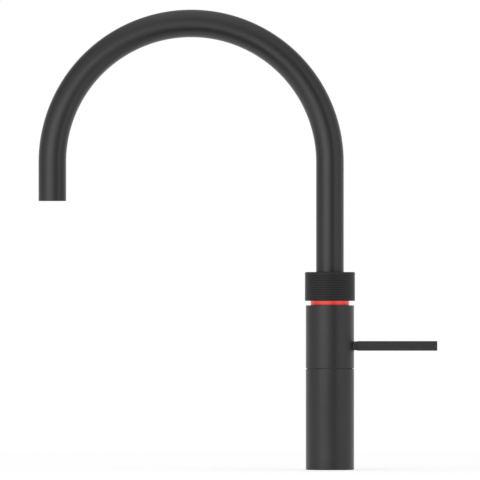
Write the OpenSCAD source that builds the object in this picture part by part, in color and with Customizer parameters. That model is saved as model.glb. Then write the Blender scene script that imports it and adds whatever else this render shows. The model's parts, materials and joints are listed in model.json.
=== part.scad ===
// Boiling water tap with a swan neck spout, a side lever for mixed water and
// a push-and-turn control ring with a light ring for boiling water.
// Millimetres. Origin: centre of the tap's foot on the worktop face.
// +Z runs up the column, the spout reaches towards -X, the lever towards +X.

/* [Body] */
// Outer diameter of the column and upper body
body_d = 43; // [42:0.5:48]
// Wall of the column and upper body
shell_wall = 2.5; // [2:0.1:3]
// Height of the upper body's top face above the worktop
body_top = 146.5; // [146:0.5:170]
// Height of the seam between column and upper body
seam_h = 90.2; // [70:0.1:92]
// Height of the seam groove
seam_gap = 0.55; // [0.4:0.05:1]
// Depth of the seam groove
seam_depth = 1.2; // [0.8:0.1:1.6]
// Chamfer on the body's outer edges
edge_chamfer = 0.4; // [0.2:0.1:0.6]
// Thickness of the upper body's top plate
top_plate = 2.2; // [1.8:0.1:3]

/* [Spout] */
// Outer diameter of the spout tube
spout_d = 24.7; // [24:0.1:25.2]
// Wall of the spout tube
spout_wall = 1.3; // [1:0.1:1.5]
// Distance from the column's axis to the outlet's axis
spout_reach = 247.2; // [160:1:300]
// Height of the bend's centre above the worktop
bend_h = 274; // [265:1:330]
// Height of the outlet's end above the worktop
outlet_h = 239.4; // [200:1:242]
// Outer diameter of the boiling water tube inside the spout
inner_tube_d = 6; // [5:0.2:6.4]
// Wall of the boiling water tube
inner_tube_wall = 0.8; // [0.5:0.1:1]
// Length of the outlet nozzle
nozzle_len = 11.6; // [10:0.2:16]
// How far the nozzle sits up inside the outlet
nozzle_recess = 1; // [0.5:0.1:3]
// Number of mixed water holes in the nozzle
nozzle_holes = 12; // [6:1:14]

/* [Control ring] */
// Outer diameter of the control ring
ring_d = 44.6; // [44.2:0.1:48]
// Height of the control ring
ring_h = 25.7; // [25.7:0.1:34]
// Gap between upper body and control ring, where the light shows
light_gap = 4; // [3.8:0.1:5]
// Outer diameter of the light ring
light_d = 34.5; // [34.3:0.1:35]
// How far the control ring can be pushed down
ring_travel = 3.2; // [2:0.1:3.2]
// How far the control ring can be turned, in degrees
ring_turn = 90; // [45:5:120]
// Rounding of the control ring's top edge
ring_round = 1.2; // [0.6:0.1:1.6]
// Number of fine grooves round the control ring
groove_count = 11; // [6:1:11]
// Distance from groove to groove
groove_pitch = 2.08; // [1.6:0.02:2.1]
// Depth of the grooves
groove_depth = 0.25; // [0.1:0.05:0.4]
// Width of the grooves
groove_w = 0.9; // [0.5:0.05:1.2]

/* [Light and switch] */
// Number of lamps under the light ring
led_count = 12; // [6:1:16]
// Thickness of the circuit board
board_t = 1.1; // [0.8:0.1:1.2]

/* [Lever] */
// Depth of the lever's axis below the upper body's top face
lever_drop = 36.1; // [36:0.1:44]
// Height and width of the lever bar
lever_size = 8.6; // [8.4:0.1:10]
// Distance from the column's axis to the lever's tip
lever_reach = 95.6; // [70:1:130]
// Bevel on the lever's edges
lever_bevel = 0.5; // [0.2:0.1:1]
// Radius of the lever's ball
ball_r = 5.2; // [5.1:0.05:5.4]
// How far the lever lifts, in degrees
lever_lift = 18; // [8:1:18]
// How far the lever swings to each side, in degrees
lever_swing = 15; // [5:1:15]

/* [Cartridge] */
// Diameter of the mixing cartridge
cartridge_d = 24.8; // [24.6:0.1:25]
// Wall of the cartridge housing
cartridge_wall = 1.3; // [1.1:0.1:1.4]
// Distance from the lever's ball to the end of its tail
tail_reach = 12; // [11.8:0.1:12.2]
// Radius of the ceramic moving disc
moving_disc_r = 6; // [5:0.1:6]
// Thickness of each ceramic disc
disc_t = 3; // [2.5:0.1:3]

/* [Worktop fixing] */
// Thickness of the worktop the tap is clamped to
deck_t = 30; // [5:1:36]
// Outer diameter of the threaded shank
shank_d = 32; // [30:0.5:33]
// Bore of the threaded shank
shank_bore = 26; // [25.8:0.1:26.5]
// Length of the shank below the worktop face
shank_len = 62; // [60:1:80]
// Width across the flats of the lock nut
nut_af = 50; // [48:1:56]
// Height of the lock nut
nut_h = 9; // [7:0.5:12]
// Number of jack screws in the lock nut
jack_count = 3; // [2:1:4]

/* [Water connections] */
// Outer diameter of the cold, hot and boiling tails
tail_d = 8; // [7:0.2:8]
// Bore of the tails
tail_bore = 5; // [4:0.2:5.2]
// Diameter of the threaded end of each tail
tail_thread_d = 10; // [8.4:0.2:10]
// Length of the threaded end of each tail
tail_thread_len = 14; // [8:1:20]
// How far the tails hang below the worktop face
tail_drop = 95; // [95:1:160]
// Distance of the tails from the column's axis
tail_offset = 7.6; // [7:0.1:7.6]

/* [Hidden] */

$fn = 96;
fine = 144;          // facets on the large visible curves
small = 48;          // facets on small round pieces
cut = 1;             // how far a cut runs past the faces it opens
run = 0.05;          // radial running clearance
seat = 0.1;          // clearance between pieces that sit together

black = [0.11, 0.11, 0.12];
brass = [0.78, 0.62, 0.32];
steel = [0.72, 0.73, 0.75];
rubber = [0.07, 0.07, 0.07];
plastic = [0.85, 0.85, 0.82];
ceramic = [0.93, 0.92, 0.88];
red = [0.92, 0.28, 0.25];
board_green = [0.1, 0.35, 0.2];
copper = [0.80, 0.50, 0.32];

// radii of the body
body_r = body_d / 2;
bore_r = body_r - shell_wall;
core_r = bore_r - 0.3;
seam_lo = seam_h - seam_gap / 2;
seam_hi = seam_h + seam_gap / 2;
seam_r = body_r - seam_depth;
seam_chamfer = 0.2;
plate_under = body_top - top_plate;

// spout
spout_r = spout_d / 2;
spout_bore_r = spout_r - spout_wall;
bend_r = spout_reach / 2;
inner_tube_r = inner_tube_d / 2;
nozzle_z = outlet_h + nozzle_recess;
nozzle_r = spout_bore_r - seat;
nozzle_top = nozzle_z + nozzle_len;
inner_tube_end = nozzle_z + 3.8;
spacer_len = 5;
spacer_low = 84;     // how far under the bend's centre the column side's two spacers stand
spacer_high = 12;
spacer_over = 8;     // how far over the nozzle the outlet side's spacer stands
nozzle_groove_at = 6.5;
nozzle_groove_w = 1.4;
nozzle_groove_depth = 1;
nozzle_seal_wire = 0.5;

// stack under the upper body's top plate, from the plate down to the core's top
light_flange_t = 1.4;
light_flange_hi = plate_under - seat;
light_flange_lo = light_flange_hi - light_flange_t;
lamp_h = 0.9;
lamp_lo = light_flange_lo - 0.2 - lamp_h;
board_lo = lamp_lo - board_t;
sleeve_flange_t = 1.5;
sleeve_flange_hi = board_lo - seat;
core_top = sleeve_flange_hi - sleeve_flange_t;

// swivel: thrust washer and collar in the core's top, spigot below them
washer_t = 0.8;
collar_t = 1.8;
collar_pocket = 3;
pocket_floor = core_top - collar_pocket;
washer_lo = pocket_floor + run;
collar_lo = washer_lo + washer_t + run;
collar_hi = collar_lo + collar_t;
collar_r = spout_r + 0.85;
pocket_r = collar_r + seat;
spigot_r = 9;
spigot_len = 6.7;
spigot_lo = collar_lo - spigot_len;
spigot_bore_r = 6.5;
tail_in_tube = 12;   // how far the spout tail goes into the tube
seal_w = 2;          // width of a spout seal groove
seal_depth = 1.25;   // depth of a spout seal groove
seal_wire = 0.62;    // half the squeezed section of a spout seal
seal_zs = [spigot_lo + 2, spigot_lo + 4.7];
chamber_r = 12.8;    // mixed water chamber under the spigot
chamber_h = 2.1;
chamber_lo = spigot_lo - 0.4 - chamber_h;
boss_r = 4.8;        // boss that takes the boiling tube
boss_hi = spigot_lo + 3.8;
inner_tube_lo = chamber_lo - 0.7;
boiling_seal_z = chamber_lo + 3.1;
boiling_seal_wire = 0.38;

// guide sleeve for spout and control ring
bush_r = spout_r + 0.95;
sleeve_r = bush_r + 1.1;
sleeve_lip_r = spout_r + 0.25;
sleeve_lip_t = 0.9;
ring_lo = body_top + light_gap;
ring_hi = ring_lo + ring_h;
ring_r = ring_d / 2;
ring_wall = 1.85;
ring_bore_r = ring_r - ring_wall;
ring_top_t = 1.8;
ring_under = ring_hi - ring_top_t;
sleeve_top = ring_under - ring_travel - 0.6;
bush_len = 6;
key_w = 2.2;
key_len = 7;

// carriage that slides on the sleeve and carries the control ring
light_r = light_d / 2;
light_side_gap = 0.2;
light_wall = 1.2;
light_foot_r = core_r - 0.2;
light_bore_r = light_r - light_wall;
light_top = ring_lo + 3;
carriage_r = sleeve_r + run + 1.25;
carriage_lo = light_top + 0.3;
carriage_hi = ring_under - 1.2;
carriage_flange_lo = light_top + ring_travel + 0.5;
carriage_flange_t = 1.5;
carriage_flange_hi = carriage_flange_lo + carriage_flange_t;
carriage_flange_r = ring_bore_r - 1.85;
circlip_t = 0.9;
circlip_lo = carriage_hi - 2.2;
circlip_seat_r = carriage_r - 0.6;
circlip_r = carriage_r + 2.1;
hub_lo = carriage_flange_hi + run;
hub_hi = circlip_lo - run;
hub_bore_r = carriage_r + run;
hub_r = ring_bore_r - run;
stop_r = 1.2;        // peg that stops the ring's turn
stop_h = 1.8;
stop_at = (hub_bore_r + carriage_flange_r) / 2;
stop_azimuth = 270;
stop_gap = 0.15;
stop_margin = asin((stop_r + stop_gap) / stop_at);
ring_base_h = 1.8;
ring_base_bore_r = light_r + 0.35;
magnet_r = 0.9;
magnet_h = 1.2;
magnet_at = (ring_base_bore_r + hub_r) / 2;
board_r = core_r - 0.3;
board_bore_r = light_bore_r + 0.1;
lamp_at = (board_r + board_bore_r) / 2;
lamp_w = 1.4;
sensor_azimuths = [180 / led_count, 180 + 180 / led_count];
groove_start = 1.7;

// return spring: one round wire in even turns between sleeve flange and carriage
spring_wire_r = 0.45;
spring_r = (sleeve_r + light_bore_r) / 2;
spring_turns = 5.5;
spring_lo = sleeve_flange_hi + spring_wire_r + 0.02;
spring_hi = carriage_lo - spring_wire_r - 0.02;
spring_rings = 16;   // rings on each turn
spring_sides = 8;

// lever and cartridge: positions along X, from the body's wall inwards
axis_z = body_top - lever_drop;
pivot_x = body_r - 1.5;
ball_gap = 0.1;
neck_r = lever_size / 2 - 0.3;
neck_len = 2.5;
bar_x = body_r + neck_len;
spigot_pin_r = 2.5;
spigot_pin_len = 11;
lever_screw_r = 1.5;
lever_screw_out = 7;
lever_screw_x = body_r + lever_screw_out;
lever_tail_r = 1.9;
tail_ball_r = 2.1;
tail_ball_x = pivot_x - tail_reach;
cartridge_r = cartridge_d / 2;
socket_r = cartridge_r + seat;
nut_thread_r = socket_r + 0.5;
nut_x1 = sqrt(core_r * core_r - nut_thread_r * nut_thread_r) - 0.1;
cartridge_nut_t = 2;
nut_x0 = nut_x1 - cartridge_nut_t;
cap_flange_t = 1.95;
cap_x0 = nut_x0 - 0.05 - cap_flange_t;
cap_nose_r = 9.1;
cap_bore_r = 7.8;
cap_seat_r = 4.5;
cap_inner_x = pivot_x - ball_r - 0.2;
cap_nose_x = pivot_x - 2.4;
housing_bore_r = cartridge_r - cartridge_wall;
disc_space = 10.9;   // room for both discs, the frame and the shoe behind the cap
fixed_disc_x = cap_x0 - disc_space;
moving_disc_x = fixed_disc_x + disc_t + run;
disc_boss_x = moving_disc_x + disc_t;
disc_boss_r = 3;
disc_boss_end = cap_x0 - 0.2;
disc_cup_r = tail_ball_r + 0.3;
mix_pocket_r = 3.5;
disc_cup_x = tail_ball_x - tail_ball_r - 0.3;
housing_floor_t = 7.6;
housing_x = fixed_disc_x - housing_floor_t;
socket_x = housing_x - 0.1;
swing_slide = tail_reach * lever_swing * PI / 180;
lift_slide = tail_reach * lever_lift * PI / 180;
frame_t = 2;
frame_x = disc_boss_x + 0.3;
frame_side = 1.3;
frame_slot_lo = -(lift_slide + disc_boss_r + 0.15);
frame_end = 0.9;
shoe_in_r = 7.3;     // the shoe's inner and outer radius round the ball's upright axis
shoe_out_r = 8.8;
shoe_half = 21;      // half of the shoe's angle
shoe_slot = lever_tail_r + seat;
shoe_slot_lo = -(shoe_out_r * tan(lever_lift) + lever_tail_r / cos(lever_lift) + seat);
shoe_web = 0.5;
port_r = 2.2;        // water ports through the disc and housing
port_y = tail_offset * sin(60);
inlet_dz = 3;
outlet_dz = -4;
port_seal_wire = 0.5;

// tails, channels and plugs in the core
core_drop = 11.9;    // how far the core reaches down under the seam
core_lo = seam_lo - core_drop;
core_thread_len = 10;
tail_r = tail_d / 2;
tail_thread_r = tail_thread_d / 2;
tail_socket = 8;
tail_top = core_lo + tail_socket - 0.2;
tail_seal_z = core_lo + 4;
tail_seal_wire = 0.42;
tail_groove_w = 1.1;
tail_groove_depth = 0.85;
thread_chamfer = 0.6;
tail_azimuths = [120, 240, 0];
channel_r = 2;
riser_over = 0.15;   // how much wider a riser is than the channels that meet it
riser_past = 0.3;    // how far a riser runs past the channels that meet it
boiling_channel_r = 1.3;
cross_up = 13;
cross_z = core_lo + cross_up;
riser_in = 6.5;      // how far in from the core's skin the hot and cold risers stand
riser_x = -(core_r - riser_in);
mixed_x = housing_x - 2.9;
boiling_cross_z = chamber_lo - 2.6;
boiling_riser_x = tail_offset;
boiling_riser_at = core_r - 2.1;
boiling_riser_y = sqrt(pow(boiling_riser_at, 2) - pow(boiling_riser_x, 2));
boiling_azimuth = atan2(boiling_riser_y, boiling_riser_x);
mixed_channel_r = 1.7;
plug_len = 2;
plug_x = -sqrt(pow(core_r - 0.1, 2) - pow(port_y + channel_r, 2));
cable_azimuth = 250;
cable_at = core_r - 2.5;
cable_r = 1.7;
screw_at = core_r - 2.3;
screw_r = 1.25;
screw_head_r = 2;
screw_head_h = 0.9;
screw_depth = 6.5;
screw_azimuths = [30, 150, 270];
set_screw_r = 2;
set_screw_up = 7;
set_screw_z = seam_hi + set_screw_up;

// foot and fixing
foot_lo = 0.25;
base_seal_t = 1.2;
foot_rim_r = body_r - 0.8;   // inner radius of the thin rim that hides the base seal
foot_web_hi = 13;
core_ledge = 2;      // ledge in the column that carries the core
core_ledge_h = 4;
shank_r = shank_d / 2;
shank_bore_r = shank_bore / 2;
shank_chamfer = 0.8;
gasket_t = 3;
deck_washer_t = 2;
jack_gap = 4;
washer_r = nut_af / 2 + 2;
gasket_hi = -deck_t;
washer_hi = gasket_hi - gasket_t;
jack_hi = washer_hi - deck_washer_t;
nut_hi = jack_hi - jack_gap;
jack_r = 2.5;
jack_out = 6;        // how far the jack screws stand out under the nut
jack_head_r = 4.3;
jack_head_h = 3.5;
jack_at = (shank_r + nut_af / 2) / 2 + 0.3;
tail_plate_hi = -shank_len + 6;
tail_plate_t = 4;
grommet_r = 2.6;
grommet_at = 9.4;

// ---------- shapes used more than once ----------

// Tube about Z from z0 to z1
module pipe(r_out, r_in, z0, z1) {
    translate([0, 0, z0]) difference() {
        cylinder(r = r_out, h = z1 - z0);
        translate([0, 0, -cut]) cylinder(r = r_in, h = z1 - z0 + 2 * cut);
    }
}

// Solid rod about Z from z0 to z1
module rod(r, z0, z1) {
    translate([0, 0, z0]) cylinder(r = r, h = z1 - z0);
}

// Solid rod along X at the lever's height, from x0 to x1
module rod_x(r, x0, x1, y = 0, dz = 0) {
    translate([x0, y, axis_z + dz]) rotate([0, 90, 0]) cylinder(r = r, h = x1 - x0);
}

// Turned piece: a profile of [radius, z] points spun about Z
module turned(points) {
    rotate_extrude() polygon(points);
}

// Round seal about Z
module seal(r, wire_r, z) {
    translate([0, 0, z]) rotate_extrude() translate([r, 0]) circle(r = wire_r, $fn = small);
}

// Places children on the three tail axes
module at_tail(azimuth) {
    rotate([0, 0, azimuth]) translate([tail_offset, 0, 0]) children();
}

// Path of the spout's centre line, swept with a round section of radius r,
// from z_start on the column side to z_end on the outlet side
module swan_neck(r, z_start, z_end) {
    rod(r, z_start, bend_h);
    translate([-spout_reach, 0, z_end]) cylinder(r = r, h = bend_h - z_end);
    translate([-bend_r, 0, bend_h]) rotate([90, 0, 0])
        rotate_extrude(angle = 180) translate([bend_r, 0]) circle(r = r);
}

// Places children on the outlet side's centre line at height z, turned with the bend
// where that height lies over the bend's centre
module on_outlet_leg(z) {
    over = max(z - bend_h, 0);
    translate([-bend_r, 0, bend_h]) rotate([0, over / bend_r * 180 / PI, 0])
        translate([-bend_r, 0, min(z - bend_h, 0)]) children();
}

// ---------- body ----------

module base_column() {
    color(black) rotate_extrude($fn = fine) polygon([
        [shank_r + run, base_seal_t],
        [foot_rim_r, base_seal_t],
        [foot_rim_r, foot_lo],
        [body_r - edge_chamfer, foot_lo],
        [body_r, foot_lo + edge_chamfer],
        [body_r, seam_lo - seam_chamfer],
        [body_r - seam_chamfer, seam_lo],
        [bore_r, seam_lo],
        [bore_r, core_lo],
        [bore_r - core_ledge, core_lo],
        [bore_r - core_ledge, core_lo - core_ledge_h],
        [bore_r, core_lo - core_ledge_h - core_ledge],
        [bore_r, foot_web_hi],
        [shank_r + run, foot_web_hi]
    ]);
}

module upper_body() {
    color(black) difference() {
        rotate_extrude($fn = fine) polygon([
            [bore_r, seam_hi],
            [body_r - seam_chamfer, seam_hi],
            [body_r, seam_hi + seam_chamfer],
            [body_r, body_top - edge_chamfer],
            [body_r - edge_chamfer, body_top],
            [light_r + light_side_gap, body_top],
            [light_r + light_side_gap, plate_under],
            [bore_r, plate_under]
        ]);
        // round seat for the lever's ball
        translate([pivot_x, 0, axis_z]) rotate([0, 90, 0]) sphere(r = ball_r + ball_gap);
        // hole for the set screw at the back
        translate([0, body_r + cut, set_screw_z]) rotate([90, 0, 0])
            cylinder(r = set_screw_r, h = body_r, $fn = small);
    }
}

module seam_ring() {
    color(rubber) pipe(seam_r, bore_r, seam_lo, seam_hi);
}

module body_set_screw() {
    color(steel) translate([0, body_r - 0.6, set_screw_z]) rotate([90, 0, 0]) difference() {
        cylinder(r = set_screw_r - run, h = 5, $fn = small);
        translate([0, 0, -cut]) cylinder(r = 1.15, h = 2 + cut, $fn = 6);
    }
}

// Upright channel between two crosswise ones of radius r, whose axes lie at z0 and z1
module riser(r, z0, z1) {
    rod(r + riser_over, z0 - r - riser_past, z1 + r + riser_past, $fn = small);
}

module core_passages() {
    // swivel pocket, spigot bore and mixed water chamber, round the boss for the boiling tube
    difference() {
        union() {
            rod(pocket_r, pocket_floor, core_top + cut);
            rod(spigot_r + run, chamber_lo + chamber_h / 2, pocket_floor + cut);
            rod(chamber_r, chamber_lo, chamber_lo + chamber_h);
        }
        rod(boss_r, chamber_lo - cut, boss_hi);
    }
    rod(inner_tube_r + run, inner_tube_lo - 0.2, boss_hi + cut);
    rod(inner_tube_r + 0.85, boiling_seal_z - 0.5, boiling_seal_z + 0.5);
    // socket for the cartridge and its nut
    rod_x(socket_r, socket_x, core_r + cut);
    rod_x(nut_thread_r, nut_x0 - 0.2, core_r + cut);
    // sockets for the three tails
    for (azimuth = tail_azimuths) at_tail(azimuth) {
        rod(tail_r + run, core_lo - cut, core_lo + tail_socket);
        rod(tail_bore / 2, core_lo, cross_z);
    }
    // boiling water: across to its riser, up beside the cartridge and across to the boss
    translate([boiling_riser_x, 0, cross_z]) rotate([-90, 0, 0])
        cylinder(r = boiling_channel_r, h = boiling_riser_y, $fn = small);
    translate([boiling_riser_x, boiling_riser_y, 0])
        riser(boiling_channel_r, cross_z, boiling_cross_z);
    rotate([0, 0, boiling_azimuth]) translate([0, 0, boiling_cross_z]) rotate([0, 90, 0])
        cylinder(r = boiling_channel_r, h = boiling_riser_at, $fn = small);
    riser(boiling_channel_r, boiling_cross_z, inner_tube_lo);
    // hot and cold water: across to the back, up the risers and into the cartridge
    for (side = [-1, 1]) {
        translate([-core_r - cut, side * port_y, cross_z]) rotate([0, 90, 0])
            cylinder(r = channel_r, h = core_r + cut - tail_offset / 2, $fn = small);
        translate([riser_x, side * port_y, 0]) riser(channel_r, cross_z, axis_z + inlet_dz);
        rod_x(channel_r, riser_x, socket_x + cut, side * port_y, inlet_dz, $fn = small);
    }
    // mixed water: out of the cartridge and up to the chamber
    rod_x(mixed_channel_r, mixed_x, socket_x + cut, 0, outlet_dz, $fn = small);
    translate([mixed_x, 0, 0]) riser(mixed_channel_r, axis_z + outlet_dz, chamber_lo - cut);
}

module valve_core() {
    color(brass) difference() {
        union() {
            rod(core_r, core_lo, core_top);
            rod(bore_r - seat, core_lo, core_lo + core_thread_len);
        }
        core_passages();
        // cable way, sleeve screw holes and set screw hole
        rotate([0, 0, cable_azimuth]) translate([cable_at, 0, 0])
            rod(cable_r, core_lo - cut, core_top + cut, $fn = small);
        for (azimuth = screw_azimuths) rotate([0, 0, azimuth]) translate([screw_at, 0, 0])
            rod(screw_r, core_top - screw_depth, core_top + cut, $fn = small);
        translate([0, body_r - 5.7, set_screw_z]) rotate([-90, 0, 0])
            cylinder(r = set_screw_r, h = body_r, $fn = small);
    }
}

module channel_plugs() {
    color(brass) for (side = [-1, 1])
        translate([plug_x, side * port_y, cross_z]) rotate([0, 90, 0])
            cylinder(r = channel_r - run, h = plug_len, $fn = small);
}

// ---------- mixing cartridge and lever ----------

// Water ports on the cartridge's face, as rods along X
module ports(r, x0, x1) {
    for (side = [-1, 1]) rod_x(r, x0, x1, side * port_y, inlet_dz, $fn = small);
    rod_x(r, x0, x1, 0, outlet_dz, $fn = small);
}

module cartridge_housing() {
    color(plastic) difference() {
        rod_x(cartridge_r, housing_x, cap_x0);
        rod_x(housing_bore_r, fixed_disc_x, cap_x0 + cut);
        ports(port_r, housing_x - cut, fixed_disc_x + cut);
        ports(port_r + 1.2, housing_x - cut, housing_x + 0.95);
    }
}

module cartridge_seals() {
    color(rubber) for (at = [[-port_y, inlet_dz], [port_y, inlet_dz], [0, outlet_dz]])
        translate([socket_x + port_seal_wire + 0.02, at[0], axis_z + at[1]]) rotate([0, 90, 0])
            seal(port_r + 0.65, port_seal_wire, 0);
}

module fixed_disc() {
    color(ceramic) difference() {
        rod_x(housing_bore_r - seat, fixed_disc_x, fixed_disc_x + disc_t);
        ports(port_r, fixed_disc_x - cut, fixed_disc_x + disc_t + cut);
    }
}

module moving_disc() {
    color(ceramic) difference() {
        union() {
            rod_x(moving_disc_r, moving_disc_x, disc_boss_x);
            rod_x(disc_boss_r, moving_disc_x, disc_boss_end);
        }
        // cup for the lever's tail, and the mixing pocket on the sealing face
        rod_x(disc_cup_r, disc_cup_x, disc_boss_end + cut);
        rod_x(mix_pocket_r, moving_disc_x - cut, moving_disc_x + disc_t / 2, 0, -1);
    }
}

// Plate that slides sideways and lets the moving disc slide up and down in its slot
module slide_frame() {
    side = disc_boss_r + seat + frame_side;
    lo = frame_slot_lo - frame_end;
    hi = disc_boss_r + seat + frame_end;
    color(steel) difference() {
        translate([frame_x, -side, axis_z + lo]) cube([frame_t, 2 * side, hi - lo]);
        translate([frame_x - cut, -disc_boss_r - seat, axis_z + frame_slot_lo])
            cube([frame_t + 2 * cut, 2 * (disc_boss_r + seat), disc_boss_r + seat - frame_slot_lo]);
    }
}

// Curved shoe that swings with the lever's tail and keeps it from rolling
module guide_shoe() {
    hi = shoe_slot + shoe_web;
    color(steel) difference() {
        translate([pivot_x, 0, axis_z + shoe_slot_lo - shoe_web]) rotate([0, 0, 180 - shoe_half])
            rotate_extrude(angle = 2 * shoe_half) translate([shoe_in_r, 0])
                square([shoe_out_r - shoe_in_r, hi - shoe_slot_lo + shoe_web]);
        translate([pivot_x - shoe_out_r - cut, -shoe_slot, axis_z + shoe_slot_lo])
            cube([shoe_out_r - shoe_in_r + 2 * cut, 2 * shoe_slot, shoe_slot - shoe_slot_lo]);
    }
}

module cartridge_cap() {
    color(brass) difference() {
        intersection() {
            union() {
                rod_x(cartridge_r, cap_x0 + 0.01, cap_x0 + cap_flange_t);
                rod_x(cap_nose_r, cap_x0 + 0.01, cap_nose_x);
            }
            rod(core_r - 0.2, axis_z - body_r, axis_z + body_r);
        }
        rod_x(cap_bore_r, cap_x0 - cut, cap_inner_x);
        rod_x(cap_seat_r, cap_inner_x - cut, cap_nose_x + cut);
        translate([pivot_x, 0, axis_z]) rotate([0, 90, 0]) sphere(r = ball_r + ball_gap);
    }
}

module cartridge_nut() {
    color(brass) difference() {
        rod_x(nut_thread_r - run, nut_x0, nut_x1);
        rod_x(cap_nose_r + seat, nut_x0 - cut, nut_x1 + cut);
        // two slots for the pin wrench
        for (side = [-1, 1])
            translate([nut_x1 - 1, -1.5, axis_z + side * (nut_thread_r - 1) - 1.5]) cube([2, 3, 3]);
    }
}

module lever_spindle() {
    color(steel) difference() {
        union() {
            intersection() {
                translate([pivot_x, 0, axis_z]) rotate([0, 90, 0]) sphere(r = ball_r);
                translate([pivot_x - 2 * ball_r, -2 * ball_r, axis_z - 2 * ball_r])
                    cube([2 * ball_r + body_r - pivot_x, 4 * ball_r, 4 * ball_r]);
            }
            rod_x(lever_tail_r, tail_ball_x, pivot_x, $fn = small);
            translate([tail_ball_x, 0, axis_z]) rotate([0, 90, 0]) sphere(r = tail_ball_r, $fn = small);
            rod_x(spigot_pin_r, pivot_x, body_r + spigot_pin_len, $fn = small);
        }
        // dimple for the grub screw
        translate([lever_screw_x, 0, 0])
            rod(lever_screw_r, axis_z - spigot_pin_r - cut, axis_z - spigot_pin_r + 0.5, $fn = small);
    }
}

// Bar outline in side or top view, with bevelled ends
module bar_outline(x0, x1, half) {
    b = lever_bevel;
    polygon([
        [x0 + b, -half], [x1 - b, -half], [x1, -half + b], [x1, half - b],
        [x1 - b, half], [x0 + b, half], [x0, half - b], [x0, -half + b]
    ]);
}

module lever_bar() {
    half = lever_size / 2;
    color(black) difference() {
        union() {
            intersection() {
                translate([bar_x, 0, axis_z]) rotate([90, 0, 90])
                    linear_extrude(lever_reach - bar_x) bar_outline(-half, half, half);
                translate([0, lever_size, axis_z]) rotate([90, 0, 0])
                    linear_extrude(2 * lever_size) bar_outline(bar_x, lever_reach, half);
                translate([0, 0, axis_z - lever_size])
                    linear_extrude(2 * lever_size) bar_outline(bar_x, lever_reach, half);
            }
            rod_x(neck_r, body_r + 0.02, bar_x + 1);
        }
        rod_x(spigot_pin_r + run, body_r - cut, body_r + spigot_pin_len + 0.5, $fn = small);
        translate([lever_screw_x, 0, 0]) rod(lever_screw_r, axis_z - lever_size, axis_z, $fn = small);
    }
}

module lever_screw() {
    color(steel) translate([lever_screw_x, 0, 0]) difference() {
        rod(lever_screw_r - run, axis_z - lever_size / 2 + 0.2, axis_z - spigot_pin_r + 0.45, $fn = small);
        rod(0.85, axis_z - lever_size, axis_z - lever_size / 2 + 1.2, $fn = 6);
    }
}

// ---------- guide sleeve and swivel ----------

module guide_sleeve() {
    key_lo = carriage_lo + 1 - ring_travel - 0.4;
    key_hi = carriage_lo + 1 + key_len + 0.4;
    color(brass) difference() {
        turned([
            [sleeve_lip_r, core_top],
            [board_r, core_top],
            [board_r, sleeve_flange_hi],
            [sleeve_r, sleeve_flange_hi],
            [sleeve_r, sleeve_top],
            [bush_r, sleeve_top],
            [bush_r, core_top + sleeve_lip_t],
            [sleeve_lip_r, core_top + sleeve_lip_t]
        ]);
        // two upright slots for the carriage's keys
        for (side = [0, 180]) rotate([0, 0, side])
            translate([bush_r - cut, -key_w / 2 - seat, key_lo])
                cube([sleeve_r - bush_r + 2 * cut, key_w + 2 * seat, key_hi - key_lo]);
        for (azimuth = screw_azimuths) rotate([0, 0, azimuth]) translate([screw_at, 0, 0]) {
            rod(screw_r, core_top - cut, sleeve_flange_hi + cut, $fn = small);
            rod(screw_head_r + run, sleeve_flange_hi - screw_head_h, sleeve_flange_hi + cut, $fn = small);
        }
        rotate([0, 0, cable_azimuth]) translate([cable_at, 0, 0])
            rod(cable_r, core_top - cut, sleeve_flange_hi + cut, $fn = small);
    }
}

module sleeve_screws() {
    color(steel) for (azimuth = screw_azimuths) rotate([0, 0, azimuth]) translate([screw_at, 0, 0])
        difference() {
            union() {
                rod(screw_r - run, core_top - screw_depth + 0.5, sleeve_flange_hi - 0.1, $fn = small);
                rod(screw_head_r, sleeve_flange_hi - screw_head_h, sleeve_flange_hi - 0.1, $fn = small);
            }
            rod(0.9, sleeve_flange_hi - 0.9, sleeve_flange_hi + cut, $fn = 6);
        }
}

module lower_bush() {
    color(plastic) pipe(bush_r - run, spout_r + run, core_top + sleeve_lip_t, core_top + sleeve_lip_t + bush_len);
}

module upper_bush() {
    color(plastic) pipe(bush_r - run, spout_r + run, sleeve_top - bush_len, sleeve_top);
}

module thrust_washer() {
    color(plastic) pipe(collar_r, spigot_r + 0.3, washer_lo, washer_lo + washer_t);
}

// ---------- spout ----------

module spout_tube() {
    color(black) difference() {
        swan_neck(spout_r, collar_hi, outlet_h);
        swan_neck(spout_bore_r, collar_hi - cut, outlet_h - cut);
    }
}

module spout_tail() {
    groove_r = spigot_r - seal_depth;
    color(brass) turned([
        [spigot_bore_r, spigot_lo],
        [spigot_r - 0.4, spigot_lo],
        [spigot_r, spigot_lo + 0.4],
        for (z = seal_zs) each [
            [spigot_r, z - seal_w / 2], [groove_r, z - seal_w / 2],
            [groove_r, z + seal_w / 2], [spigot_r, z + seal_w / 2]
        ],
        [spigot_r, collar_lo],
        [collar_r, collar_lo],
        [collar_r, collar_hi],
        [spout_bore_r - run, collar_hi],
        [spout_bore_r - run, collar_hi + tail_in_tube - 1],
        [spout_bore_r - 0.8, collar_hi + tail_in_tube],
        [spigot_bore_r + 2, collar_hi + tail_in_tube],
        [spigot_bore_r, collar_hi + tail_in_tube / 2]
    ]);
}

module spout_seals() {
    color(rubber) for (z = seal_zs)
        seal(spigot_r - seal_depth + 0.02 + seal_wire, seal_wire, z);
}

module boiling_tube() {
    color(copper) difference() {
        swan_neck(inner_tube_r, inner_tube_lo, inner_tube_end);
        swan_neck(inner_tube_r - inner_tube_wall, inner_tube_lo - cut, inner_tube_end - cut);
    }
}

module boiling_seal() {
    color(rubber) seal(inner_tube_r + run + boiling_seal_wire, boiling_seal_wire, boiling_seal_z);
}

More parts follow.
